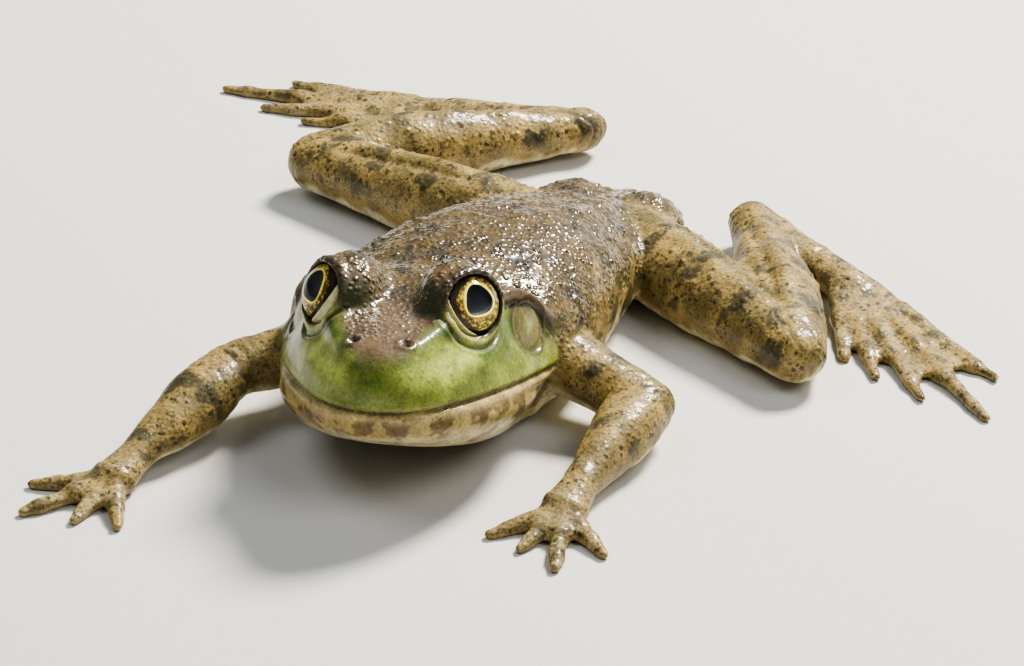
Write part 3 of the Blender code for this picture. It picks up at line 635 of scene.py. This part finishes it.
class Ground:
    """What the paint reads: where each point of the skin lies and which way it faces."""

    def __init__(self, skin):
        self.points = skin.points
        self.count = skin.count
        self.normals = skin.normals
        self.share = skin.share
        self.face = skin.share("head") + skin.share("jaw")
        self.limbs = skin.share("arm") + skin.share("leg") + skin.share("foot")
        self.head = in_head(skin.points)
        self.fold = mirrored(self.head)
        self.up = skin.normals[:, 2]
        self.warp = layered(skin.points, 6.0, 71)
        self.level = self.up + 0.25 * self.warp

    def plain(self, colour):
        return np.tile(colour, (self.count, 1))

    def patches(self, size, seed, low, high):
        """Soft-edged patches, from 0 to 1."""
        return ramp(layered(self.points, size, seed), low, high)


def back_colours(at):
    back = mix(at.plain(BACK_BROWN), BACK_DARK, at.patches(7.0, 73, 0.1, 0.4) * 0.85)
    return mix(back, LIMB_TAN, 0.20 * at.patches(3.0, 75, 0.15, 0.6))


def belly_colours(at):
    return mix(at.plain(BELLY_PALE), LIMB_OLIVE, 0.45 * at.patches(4.0, 79, 0.2, 0.6))


def trunk_colours(at):
    """Dark back, spotted flanks and a pale belly."""
    flank = mix(at.plain(LIMB_TAN), LIMB_OLIVE, ramp(at.warp, -0.2, 0.4))
    flank = mix(flank, MARK_DARK, at.patches(4.5, 77, 0.25, 0.5) * 0.8)
    trunk = mix(flank, back_colours(at), ramp(at.level, 0.25, 0.6))
    return mix(trunk, belly_colours(at), ramp(at.level, -0.15, -0.5))


def green_sides(at):
    """Green cheeks, brighter at the lip, with a painted pool of light on the side of the snout and a yellow
    gland behind the corner of the mouth.
    """
    green = mix(at.plain(FACE_GREEN), LIP_GREEN, ramp(at.fold[:, 2] + 1.2 * at.warp, 6.5, 0.5) * 0.7)
    green = mix(green, LIP_GREEN, 0.45 * ramp(cloud(at.points, 5.0, 81), -0.1, 0.6))
    lit_cheek = from_segment(at.fold, *LIT_CHEEK)[0] + 2.0 * cloud(at.points, 4.0, 91)
    gland = np.linalg.norm(at.fold - np.array(JAW_GLAND), axis=1)
    # Painted light: a bright pool on the side of the snout; the gland behind the mouth is yellow of its own
    green = mix(green, LIT_CHEEK_AND_GLAND_YELLOW, np.maximum(0.85 * ramp(lit_cheek, 5.4, 0.8), bump(gland, 3.0)))
    freckle, kind = beads(at.points, 2.6, 89)
    return mix(green, MARK_DARK, 0.75 * ramp(freckle, 0.24, 0.12) * (kind > 0.55))


def face_colours(at):
    """Green sides, a brown crown, and dark green fronts to the brows: their green darkened as painted shade
    on the faces that look forward.
    """
    y, z = at.head[:, 1], at.head[:, 2]
    back = back_colours(at)
    crown = mix(at.plain(SNOUT_BROWN), back, ramp(y, 16.0, 30.0))
    face = mix(green_sides(at), crown, top_of_head(at.head))
    # Painted shade: the forward-facing fronts of the brows darkened to deep green
    ahead = at.normals @ np.array(HEAD_TURN @ Vector((0.0, -1.0, 0.0)))
    shaded_brow_front = ramp(ahead, 0.30, 0.62) * ramp(y, 12.0, 16.0) * ramp(z, 9.0, 11.0)
    face = mix(face, BROW_SHADE_GREEN, 0.85 * shaded_brow_front * ramp(z, 20.0, 17.5))
    return mix(face, crown, ramp(y, 40.0, 45.0) * ramp(at.up, 0.1, 0.5))


def jaw_colours(at):
    jaw = mix(at.plain(THROAT_CREAM), THROAT_BROWN, at.patches(4.2, 83, -0.08, 0.28) * 0.85)
    return mix(jaw, BELLY_PALE, ramp(at.level, -0.45, -0.85) * 0.7)


def limb_colours(at):
    limb = mix(at.plain(LIMB_TAN), LIMB_OLIVE, ramp(cloud(at.points, 8.0, 85), -0.3, 0.5) * 0.6)
    limb = mix(limb, MARK_DARK, limb_marks(at.points) * ramp(at.level, -0.3, 0.1) * 0.85)
    return mix(limb, belly_colours(at), ramp(at.level, -0.35, -0.7))


def foot_colours(at):
    foot = mix(at.plain(FOOT_GREY), LIMB_TAN, ramp(at.warp, -0.2, 0.5))
    return mix(foot, MARK_DARK, at.patches(4.0, 87, 0.25, 0.55) * 0.7 * ramp(at.level, -0.2, 0.2))


def paint_ears(at, colour):
    """The eardrums with their dark rims, and the brown folds over them."""
    out, height, _ = dial(at.fold, EARDRUM_CENTRE, EARDRUM_AXIS)
    distance, along, above = from_ear_fold(at.fold)
    shown = ramp(above, 1.6, 0.4) * ramp(np.abs(height), 6.5, 5.5)
    drum = ramp(out, EARDRUM_RADIUS, EARDRUM_RADIUS - 0.8) * shown
    colour = mix(colour, DRUM_OLIVE, drum * at.face)
    colour = mix(colour, DRUM_PALE, drum * bump(out, 2.1) * (0.75 + 0.5 * at.warp))
    rim = bump(out - EARDRUM_RADIUS + 0.1, 0.45) * shown
    colour = mix(colour, DRUM_RIM, 0.9 * rim * at.face)
    fade = ramp(along, 1.0, 0.8)
    colour = mix(colour, FOLD_BROWN, ramp(distance, 2.1, 1.1) * fade * at.face)
    under = bump(distance - 2.0, 0.5) * ramp(above, 0.2, -0.4)
    return mix(colour, FOLD_SHADE, 0.9 * under * fade * at.face)


def paint_snout(at, colour):
    """The dark edge of the snout, and the nostrils with painted shade in their openings."""
    distance = from_path(at.fold, CANTHUS)[0]
    colour = mix(colour, CANTHUS_BROWN, 0.85 * bump(distance, 1.3 + 0.4 * at.warp) * at.face)
    distance = np.linalg.norm(at.fold - np.array(NOSTRIL), axis=1)
    # Painted shade inside each nostril
    colour = mix(colour, NOSTRIL_SHADE, bump(distance, 0.8) * at.face)
    return mix(colour, NOSTRIL_RIM, 0.6 * bump(distance - 1.6, 0.9) * at.face)


def paint_lids(at, colour):
    """Olive lower lids, brown upper ones, painted shade where the skin meets the eyeball, and painted shade
    in the groove outside the lower lid.
    """
    out, height, angle = dial(at.fold, EYE_CENTRE, EYE_AXIS)
    front = ramp(height, 0.0, 1.5) * at.face
    lower = ramp(np.cos(angle), 0.3, -0.3)
    rim = ramp(np.abs(out - LID_RADIUS), 0.8, 0.4) * front
    colour = mix(colour, LID_OLIVE, rim * lower)
    colour = mix(colour, LID_BROWN, 0.8 * rim * (1.0 - lower))
    # Painted shade where the lids meet the eyeball, and in the groove below the lower lid
    colour = mix(colour, SOCKET_SHADE, 0.8 * ramp(out, 6.5, 6.2) * front)
    return mix(colour, LID_GROOVE_SHADE, 0.7 * bump(out - LID_GROOVE_RADIUS, 0.4) * front * lower)


def paint_mouth(at, colour):
    """The dark line of the mouth, painted shade in the slit between the lips, over a pale lower lip."""
    above = at.head[:, 2] - mouth_height(at.head[:, 1])
    reach = ramp(at.head[:, 1], MOUTH_CORNER, MOUTH_CORNER - 3.0)
    # Painted shade along the slit of the mouth
    colour = mix(colour, MOUTH_SLIT_SHADE, 0.85 * bump(above, 0.27) * reach * at.face)
    return mix(colour, LOWER_LIP, 0.8 * bump(above + 1.3, 0.8) * reach * at.face)


def skin_colours(at):
    """The large markings: green face, brown back, spotted tan limbs and a pale belly."""
    limb = limb_colours(at)
    layers = {
        "head": face_colours(at),
        "jaw": jaw_colours(at),
        "trunk": trunk_colours(at),
        "arm": limb,
        "leg": limb,
        "foot": foot_colours(at),
    }
    colour = sum(layers[name] * at.share(name)[:, None] for name in REGIONS)
    for paint in (paint_ears, paint_snout, paint_lids, paint_mouth):
        colour = paint(at, colour)
    return colour


def paint_skin(skin):
    """Stores the colours, and how flecked, grainy and wet each point is."""
    at = Ground(skin)
    flecks = at.limbs * ramp(at.level, -0.5, 0.0) + 0.8 * at.share("trunk") * ramp(at.level, -0.3, 0.1)
    flecks += 0.32 * at.share("head") + 0.5 * at.share("jaw")
    crown = at.share("head") * top_of_head(at.head) * ramp(at.head[:, 1], 1.0, 15.0)
    topside = ramp(at.up, -0.2, 0.3)
    grain = crown + at.share("trunk") * topside + 0.35 * at.limbs * topside
    wet = 0.40 * at.share("head") + 0.60 * crown + at.share("trunk") * topside
    skin.attribute("tint", skin_colours(at))
    skin.attribute("flecks", np.clip(flecks, 0.0, 1.0))
    skin.attribute("grain", np.clip(grain, 0.0, 1.0))
    skin.attribute("wet", np.clip(0.28 + 0.72 * wet, 0.0, 1.0))


# Materials


class Nodes:
    """Short calls for making a material's nodes."""

    def __init__(self, name):
        self.material = bpy.data.materials.new(name)
        self.material.use_nodes = True
        self.tree = self.material.node_tree
        self.shader = self.tree.nodes["Principled BSDF"]

    def put(self, kind, inputs=(), **settings):
        node = self.tree.nodes.new("ShaderNode" + kind)
        for name, value in settings.items():
            setattr(node, name, value)
        for name, value in dict(inputs).items():
            self.join(value, node.inputs[name])
        return node

    def join(self, value, socket):
        if isinstance(value, bpy.types.NodeSocket):
            self.tree.links.new(value, socket)
        else:
            socket.default_value = value

    def shade(self, **inputs):
        for name, value in inputs.items():
            self.join(value, self.shader.inputs[name.replace("_", " ")])
        return self.material

    def place(self):
        """Coordinates in millimetres."""
        where = self.put("TexCoord").outputs["Object"]
        return self.put("VectorMath", {0: where, "Scale": 1 / MM}, operation="SCALE").outputs["Vector"]

    def noise(self, where, scale, detail=3.0, roughness=0.5):
        wanted = {"Vector": where, "Scale": scale, "Detail": detail, "Roughness": roughness}
        return self.put("TexNoise", wanted).outputs["Fac"]

    def cells(self, where, scale, feature="F1", randomness=1.0):
        wanted = {"Vector": where, "Scale": scale, "Randomness": randomness}
        return self.put("TexVoronoi", wanted, feature=feature).outputs["Distance"]

    def fit(self, value, low, high, to_low=0.0, to_high=1.0):
        wanted = {0: value, 1: low, 2: high, 3: to_low, 4: to_high}
        return self.put("MapRange", wanted, interpolation_type="SMOOTHSTEP").outputs[0]

    def times(self, a, b):
        return self.put("Math", {0: a, 1: b}, operation="MULTIPLY").outputs[0]

    def plus(self, a, b):
        return self.put("Math", {0: a, 1: b}, operation="ADD").outputs[0]

    def blend(self, share, a, b, how="MIX"):
        node = self.put("Mix", data_type="RGBA", blend_type=how)
        for value, socket in ((share, node.inputs[0]), (a, node.inputs[6]), (b, node.inputs[7])):
            self.join((*value, 1.0) if isinstance(value, tuple) and len(value) == 3 else value, socket)
        return node.outputs[2]

    def attribute(self, name, output="Fac"):
        return self.put("Attribute", attribute_name=name).outputs[output]


def skin_material():
    n = Nodes("frog_skin")
    where = n.place()
    tint = n.attribute("tint", "Color")
    flecks = n.attribute("flecks")
    grain = n.attribute("grain")
    sway = n.put("TexNoise", {"Vector": where, "Scale": 0.8}).outputs["Color"]
    bent = n.put("VectorMath", {0: where, 1: sway}).outputs[0]
    broad = n.fit(n.noise(where, 0.22, 5.0), 0.3, 0.7, 0.72, 1.28)
    fine = n.fit(n.noise(where, 1.6, 4.0, 0.6), 0.3, 0.7, 0.78, 1.22)
    value = n.put("CombineXYZ", {0: n.times(broad, fine), 1: n.times(broad, fine), 2: broad}).outputs[0]
    colour = n.blend(1.0, tint, value, "MULTIPLY")
    large = n.fit(n.cells(bent, 0.62), 0.42, 0.24)
    small = n.fit(n.cells(bent, 1.25), 0.46, 0.26)
    tiny = n.fit(n.noise(where, 2.4, 3.0, 0.6), 0.50, 0.62)
    thick = n.fit(n.noise(where, 0.35, 3.0), 0.42, 0.58)
    dots = n.plus(n.times(large, thick), n.plus(n.times(small, 0.55), n.times(tiny, 0.55)))
    colour = n.blend(n.times(n.times(dots, flecks), 0.8), colour, FLECK_DARK)
    pale = n.times(n.fit(n.cells(where, 1.1), 0.30, 0.12), n.fit(n.noise(where, 0.5), 0.48, 0.62))
    colour = n.blend(n.times(pale, n.times(flecks, 0.4)), colour, FLECK_PALE)
    pebbles = n.fit(n.cells(where, 0.85), 0.05, 0.62, 1.0, 0.0)
    micro = n.noise(where, 2.2, 1.0, 0.5)
    height = n.plus(n.times(pebbles, n.fit(grain, 0.0, 1.0, 0.10, 1.0)), n.times(micro, 0.14))
    relief = n.put("Bump", {"Height": height, "Strength": 0.8, "Distance": 0.34 * MM}).outputs["Normal"]
    film = n.put("Bump", {"Height": height, "Strength": 0.7, "Distance": 0.22 * MM}).outputs["Normal"]
    rough = n.fit(n.noise(where, 0.6, 3.0), 0.3, 0.7, 0.44, 0.62)
    wet = n.attribute("wet")
    n.shade(Base_Color=colour, Roughness=rough, Normal=relief)
    return n.shade(Coat_Weight=wet, Coat_Roughness=0.15, Coat_Normal=film, Specular_IOR_Level=0.2)


# Eyes


IRIS_FLOOR, IRIS_EDGE = 4.30, 3.45  # heights of the iris at the pupil and at its outer edge
PUPIL, IRIS = 2.72, 5.45  # their radii
BALL = 6.36  # the opaque ball inside the clear one
BALL_FRONT, BALL_BACK = 59.0, 178.0  # its rings, in degrees from the pupil's axis
CRESCENT_INSIDE, CRESCENT_OUTSIDE = 6.64, 6.84  # the folded lower lid lies just over the clear ball
CRESCENT_HALF_ARC = 58.0
CRESCENT_EDGE = 74.0  # its outer edge, in degrees from the pupil's axis
CRESCENT_ENDS, CRESCENT_RISE = 66.0, 10.0  # its inner edge, at the ends and how much nearer in the middle


def eye_frame(side):
    """A matrix whose z runs out through the pupil, y up, placed at the eyeball's middle."""
    name = "eye_left" if side > 0 else "eye_right"
    turn, lift = (math.radians(a) for a in GAZE[side])
    ahead = Vector((side * math.sin(turn) * math.cos(lift), -math.cos(turn) * math.cos(lift), math.sin(lift)))
    out = (HEAD_TURN @ ahead).normalized()
    across = (HEAD_TURN @ Vector((0, 0, 1))).cross(out).normalized()
    facing = Matrix((across, out.cross(across), out)).transposed()
    return Matrix.Translation(middle_of(name) * MM) @ facing.to_4x4() @ Matrix.Scale(MM, 4)


def pupil_reach(angle, front):
    """The pupil's edge: a rounded shape drawn to a soft point low in front."""
    corner = math.atan2(-0.75, front)
    near = math.cos(angle - corner)
    return PUPIL * (1.0 + 0.06 * math.cos(3 * (angle - corner)) + 0.13 * max(near, 0.0) ** 8 - 0.03 * near)


def iris_rows(front):
    """Rings of the opaque eyeball, from the middle of the pupil outwards and round to the back."""
    steps = 192
    rows = []
    angles = [2 * math.pi * i / steps for i in range(steps)]
    for share in (0.25, 0.6, 0.9, 0.985):
        rows.append([(pupil_reach(a, front) * share, a, IRIS_FLOOR - 0.5 + 0.35 * share**6) for a in angles])
    rings = 30
    for k in range(rings + 1):
        t = k / rings
        lift = 0.10 * math.sin(math.pi * min(t / 0.16, 1.0))
        height = IRIS_FLOOR + (IRIS_EDGE - IRIS_FLOOR) * t**1.25 + lift
        rows.append([(pupil_reach(a, front) * (1 - t) + IRIS * t, a, height) for a in angles])
    turns = 13
    for k in range(turns + 1):
        turn = math.radians(BALL_FRONT + (BALL_BACK - BALL_FRONT) * k / turns)
        rows.append([(BALL * math.sin(turn), a, BALL * math.cos(turn)) for a in angles])
    return rows


def placed(name, bm, place):
    """Makes a smooth object of bm, in the frame given."""
    bmesh.ops.recalc_face_normals(bm, faces=bm.faces)
    bm.transform(place)
    mesh = bpy.data.meshes.new(name)
    bm.to_mesh(mesh)
    bm.free()
    mesh.shade_smooth()
    obj = bpy.data.objects.new(name, mesh)
    bpy.context.scene.collection.objects.link(obj)
    return obj


def mesh_from_rows(name, rows, place):
    """A closed mesh through rings of (radius, angle, height), in the frame given."""
    bm = bmesh.new()
    made = [[bm.verts.new((r * math.cos(a), r * math.sin(a), z)) for r, a, z in row] for row in rows]
    count = len(rows[0])
    for first, second in zip(made, made[1:]):
        for i in range(count):
            j = (i + 1) % count
            bm.faces.new((first[i], first[j], second[j], second[i]))
    bm.faces.new(made[0][::-1])
    bm.faces.new(made[-1])
    return placed(name, bm, place)


def iris_colours(rows, front):
    """Gold with a dark net, a pale ring at the pupil, and a dark band in front that is partly painted shade
    under the brow, reaching further in at the top.
    """
    radius, angle, height = np.array([spot for row in rows for spot in row]).T
    edge = np.array([pupil_reach(a, front) for a in angle])
    x = radius * np.cos(angle)
    y = radius * np.sin(angle)
    flat = np.stack((x, y, np.zeros(len(x))), axis=1)
    t = np.clip((radius - edge) / (IRIS - edge), 0.0, 1.2)
    facing = np.cos(angle - math.atan2(0.12, front))

    gold = np.tile(IRIS_GOLD, (len(x), 1))
    gold = mix(gold, IRIS_BRONZE, ramp(cloud(flat, 1.6, 5), -0.2, 0.6))
    gold = mix(gold, IRIS_OLIVE, ramp(t, 0.3, 0.8) * 0.5)
    radial = np.stack((2.4 * np.cos(angle) + 9, 2.4 * np.sin(angle) + 9, radius * 0.9), axis=1)
    veins = np.abs(layered(radial, 0.55, 15)) + 0.5 * np.abs(cloud(flat, 0.5, 16))
    dense = 0.14 * ramp(facing, 0.0, 0.7)
    net = ramp(veins, 0.66 + dense, 0.42 + dense) * ramp(t, 0.13, 0.24)
    colour = mix(gold, IRIS_NET, 0.92 * net)

    # The dark band in front; towards the top it is painted shade of the brow and reaches nearer the pupil
    start = 1.0 - 0.42 * ramp(facing, 0.0, 0.7) - 0.45 * ramp(y, 1.6, 4.4) + 0.10 * cloud(flat, 1.4, 23)
    band = ramp(t - start, -0.06, 0.05) * ramp(t, 0.14, 0.22)
    colour = mix(colour, IRIS_BAND_AND_SHADE, 0.96 * band)
    orange = ramp(facing, 0.5, 0.9) * ramp(t, 0.2, 0.3) * ramp(y, -2.0, 0.0) * (1.0 - band)
    colour = mix(colour, IRIS_ORANGE, 0.6 * orange * (1.0 - net))
    colour = mix(colour, PUPIL_RING, ramp(t, 0.135, 0.10))
    colour = mix(colour, IRIS_RIM, ramp(t, 0.93, 1.0))
    inside = (radius < edge * 0.995) & (height > 0)
    colour[inside] = PUPIL_BLACK
    return colour


def clear_rows(radius):
    """Rings of a ball, from just off one pole to just off the other."""
    steps, rings = 64, 40
    angles = [2 * math.pi * i / steps for i in range(steps)]
    turns = [math.radians(1.5 + 177.0 * k / rings) for k in range(rings + 1)]
    return [[(radius * math.sin(turn), a, radius * math.cos(turn)) for a in angles] for turn in turns]


def eye_material():
    n = Nodes("iris")
    where = n.place()
    tint = n.attribute("tint", "Color")
    shimmer = n.fit(n.noise(where, 5.0, 4.0, 0.65), 0.3, 0.7, 0.65, 1.35)
    value = n.put("CombineXYZ", {0: shimmer, 1: shimmer, 2: shimmer}).outputs[0]
    colour = n.blend(1.0, tint, value, "MULTIPLY")
    relief = n.put("Bump", {"Height": n.noise(where, 6.0, 3.0), "Strength": 0.4, "Distance": 0.08 * MM})
    n.shade(Base_Color=colour, Roughness=0.42, Normal=relief.outputs["Normal"])
    return n.shade(Specular_IOR_Level=0.08)


def clear_material():
    n = Nodes("cornea")
    haze = n.fit(n.noise(n.place(), 2.0), 0.4, 0.7, 0.0, 0.02)
    return n.shade(Base_Color=(1.0, 1.0, 1.0, 1.0), Roughness=haze, IOR=1.34, Transmission_Weight=1.0)


def membrane_material():
    n = Nodes("lower_lid")
    where = n.place()
    shade = n.fit(n.noise(where, 1.2, 3.0), 0.3, 0.7)
    colour = n.blend(shade, CRESCENT_OCHRE, CRESCENT_CREAM)
    return n.shade(Base_Color=colour, Roughness=0.25, Coat_Weight=0.8, Coat_Roughness=0.05)


def membrane(side):
    """The folded lower lid, a pale crescent over the low front of the eyeball."""
    middle = math.atan2(-0.42, -side)
    bm = bmesh.new()
    steps, rings = 40, 8
    layers = []
    for radius in (CRESCENT_INSIDE, CRESCENT_OUTSIDE):
        grid = []
        for i in range(steps + 1):
            t = -1 + 2 * i / steps
            a = middle + t * math.radians(CRESCENT_HALF_ARC)
            swell = math.cos(0.5 * math.pi * t) ** 0.9 if abs(t) < 1 else 0.0
            near = CRESCENT_ENDS - CRESCENT_RISE * swell
            row = []
            for k in range(rings + 1):
                turn = math.radians(near + (CRESCENT_EDGE - near) * k / rings)
                reach = radius * math.sin(turn)
                row.append(bm.verts.new((reach * math.cos(a), reach * math.sin(a), radius * math.cos(turn))))
            grid.append(row)
        layers.append(grid)
    inner, outer = layers
    for i in range(steps):
        for k in range(rings):
            for grid in layers:
                bm.faces.new((grid[i][k], grid[i + 1][k], grid[i + 1][k + 1], grid[i][k + 1]))
        for k in (0, rings):
            bm.faces.new((inner[i][k], inner[i + 1][k], outer[i + 1][k], outer[i][k]))
    for i in (0, steps):
        for k in range(rings):
            bm.faces.new((inner[i][k], inner[i][k + 1], outer[i][k + 1], outer[i][k]))
    return placed("lower_lid_" + ("left" if side > 0 else "right"), bm, eye_frame(side))


def make_eye(side, iris, clear, lid):
    name = "left" if side > 0 else "right"
    front = -side
    rows = iris_rows(front)
    ball = mesh_from_rows("iris_" + name, rows, eye_frame(side))
    colours = np.ones((len(ball.data.vertices), 4))
    colours[:, :3] = np.clip(iris_colours(rows, front), 0.0, 1.0)
    ball.data.attributes.new("tint", "FLOAT_COLOR", "POINT").data.foreach_set("color", colours.ravel())
    ball.data.materials.append(iris)
    cornea = mesh_from_rows("cornea_" + name, clear_rows(EYE_RADIUS), eye_frame(side))
    cornea.data.materials.append(clear)
    cornea.visible_shadow = False
    fold = membrane(side)
    fold.data.materials.append(lid)
    for piece in (ball, cornea, fold):
        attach(piece, "root")
    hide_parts("eye_" + name)


# Studio


CAMERA_TARGET = (12.1, -15.1, 12.2)
CAMERA_DISTANCE, CAMERA_AZIMUTH, CAMERA_ELEVATION = 870.0, 23.0, 27.5
CAMERA_LENS, CAMERA_SENSOR = 154.9, 36.0

# Each light's azimuth and elevation in degrees, distance and size in metres, power in watts and colour,
# and whether the wet skin and the eyes mirror it
LIGHTS = {
    "key": (160.0, 50.0, 1.3, 0.36, 58.0, (1.0, 0.94, 0.84), True),
    "fill": (75.0, 50.0, 1.5, 0.8, 8.5, (0.97, 0.98, 1.0), False),
    "left_fill": (-60.0, 62.0, 1.5, 0.8, 7.0, (0.94, 0.97, 1.0), False),
}
SKY_COLOUR, SKY_STRENGTH = (0.80, 0.88, 1.0, 1.0), 0.20
FLOOR_COLOUR = (0.52, 0.51, 0.48, 1.0)
FLOOR_HALF_WIDTH = 6.0
FLOOR_HEIGHT = -0.02  # just below the flats that the frog rests on


def direction(azimuth, elevation):
    a, e = math.radians(azimuth), math.radians(elevation)
    return Vector((math.sin(a) * math.cos(e), -math.cos(a) * math.cos(e), math.sin(e)))


def make_camera():
    data = bpy.data.cameras.new("camera")
    data.lens = CAMERA_LENS
    data.sensor_width = CAMERA_SENSOR
    data.clip_start = 0.01
    camera = bpy.data.objects.new("camera", data)
    bpy.context.scene.collection.objects.link(camera)
    away = direction(CAMERA_AZIMUTH, CAMERA_ELEVATION)
    camera.location = (Vector(CAMERA_TARGET) + away * CAMERA_DISTANCE) * MM
    camera.rotation_euler = away.to_track_quat("Z", "Y").to_euler()
    bpy.context.scene.camera = camera


def area_light(name, azimuth, elevation, distance, size, power, colour, mirrored):
    data = bpy.data.lights.new(name, "AREA")
    data.shape = "DISK"
    data.size = size
    data.energy = power
    data.color = colour
    lamp = bpy.data.objects.new(name, data)
    bpy.context.scene.collection.objects.link(lamp)
    away = direction(azimuth, elevation)
    lamp.location = away * distance
    lamp.rotation_euler = away.to_track_quat("Z", "Y").to_euler()
    lamp.visible_glossy = mirrored


def make_floor():
    bm = bmesh.new()
    bmesh.ops.create_grid(bm, x_segments=1, y_segments=1, size=FLOOR_HALF_WIDTH)
    mesh = bpy.data.meshes.new("floor")
    bm.to_mesh(mesh)
    bm.free()
    floor = bpy.data.objects.new("floor", mesh)
    floor.location = (0.0, 0.0, FLOOR_HEIGHT * MM)
    bpy.context.scene.collection.objects.link(floor)
    n = Nodes("pale_floor")
    floor.data.materials.append(n.shade(Base_Color=FLOOR_COLOUR, Roughness=0.7))


def make_world():
    world = bpy.data.worlds.new("studio")
    world.use_nodes = True
    background = world.node_tree.nodes["Background"]
    background.inputs["Color"].default_value = SKY_COLOUR
    background.inputs["Strength"].default_value = SKY_STRENGTH
    bpy.context.scene.world = world


def make_studio():
    make_camera()
    make_floor()
    make_world()
    for name, settings in LIGHTS.items():
        area_light(name, *settings)
    bpy.context.scene.view_settings.look = "AgX - Medium High Contrast"


def make_skin():
    obj = joined_skin()
    skin = Surface(obj)
    shape_skin(skin)
    paint_skin(skin)
    obj.data.shade_smooth()
    obj.data.materials.clear()
    obj.data.materials.append(skin_material())
    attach(obj, "root")
    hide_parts(*flesh_nodes())


make_skin()
iris, clear, lid = eye_material(), clear_material(), membrane_material()
for side in (1, -1):
    make_eye(side, iris, clear, lid)
make_studio()
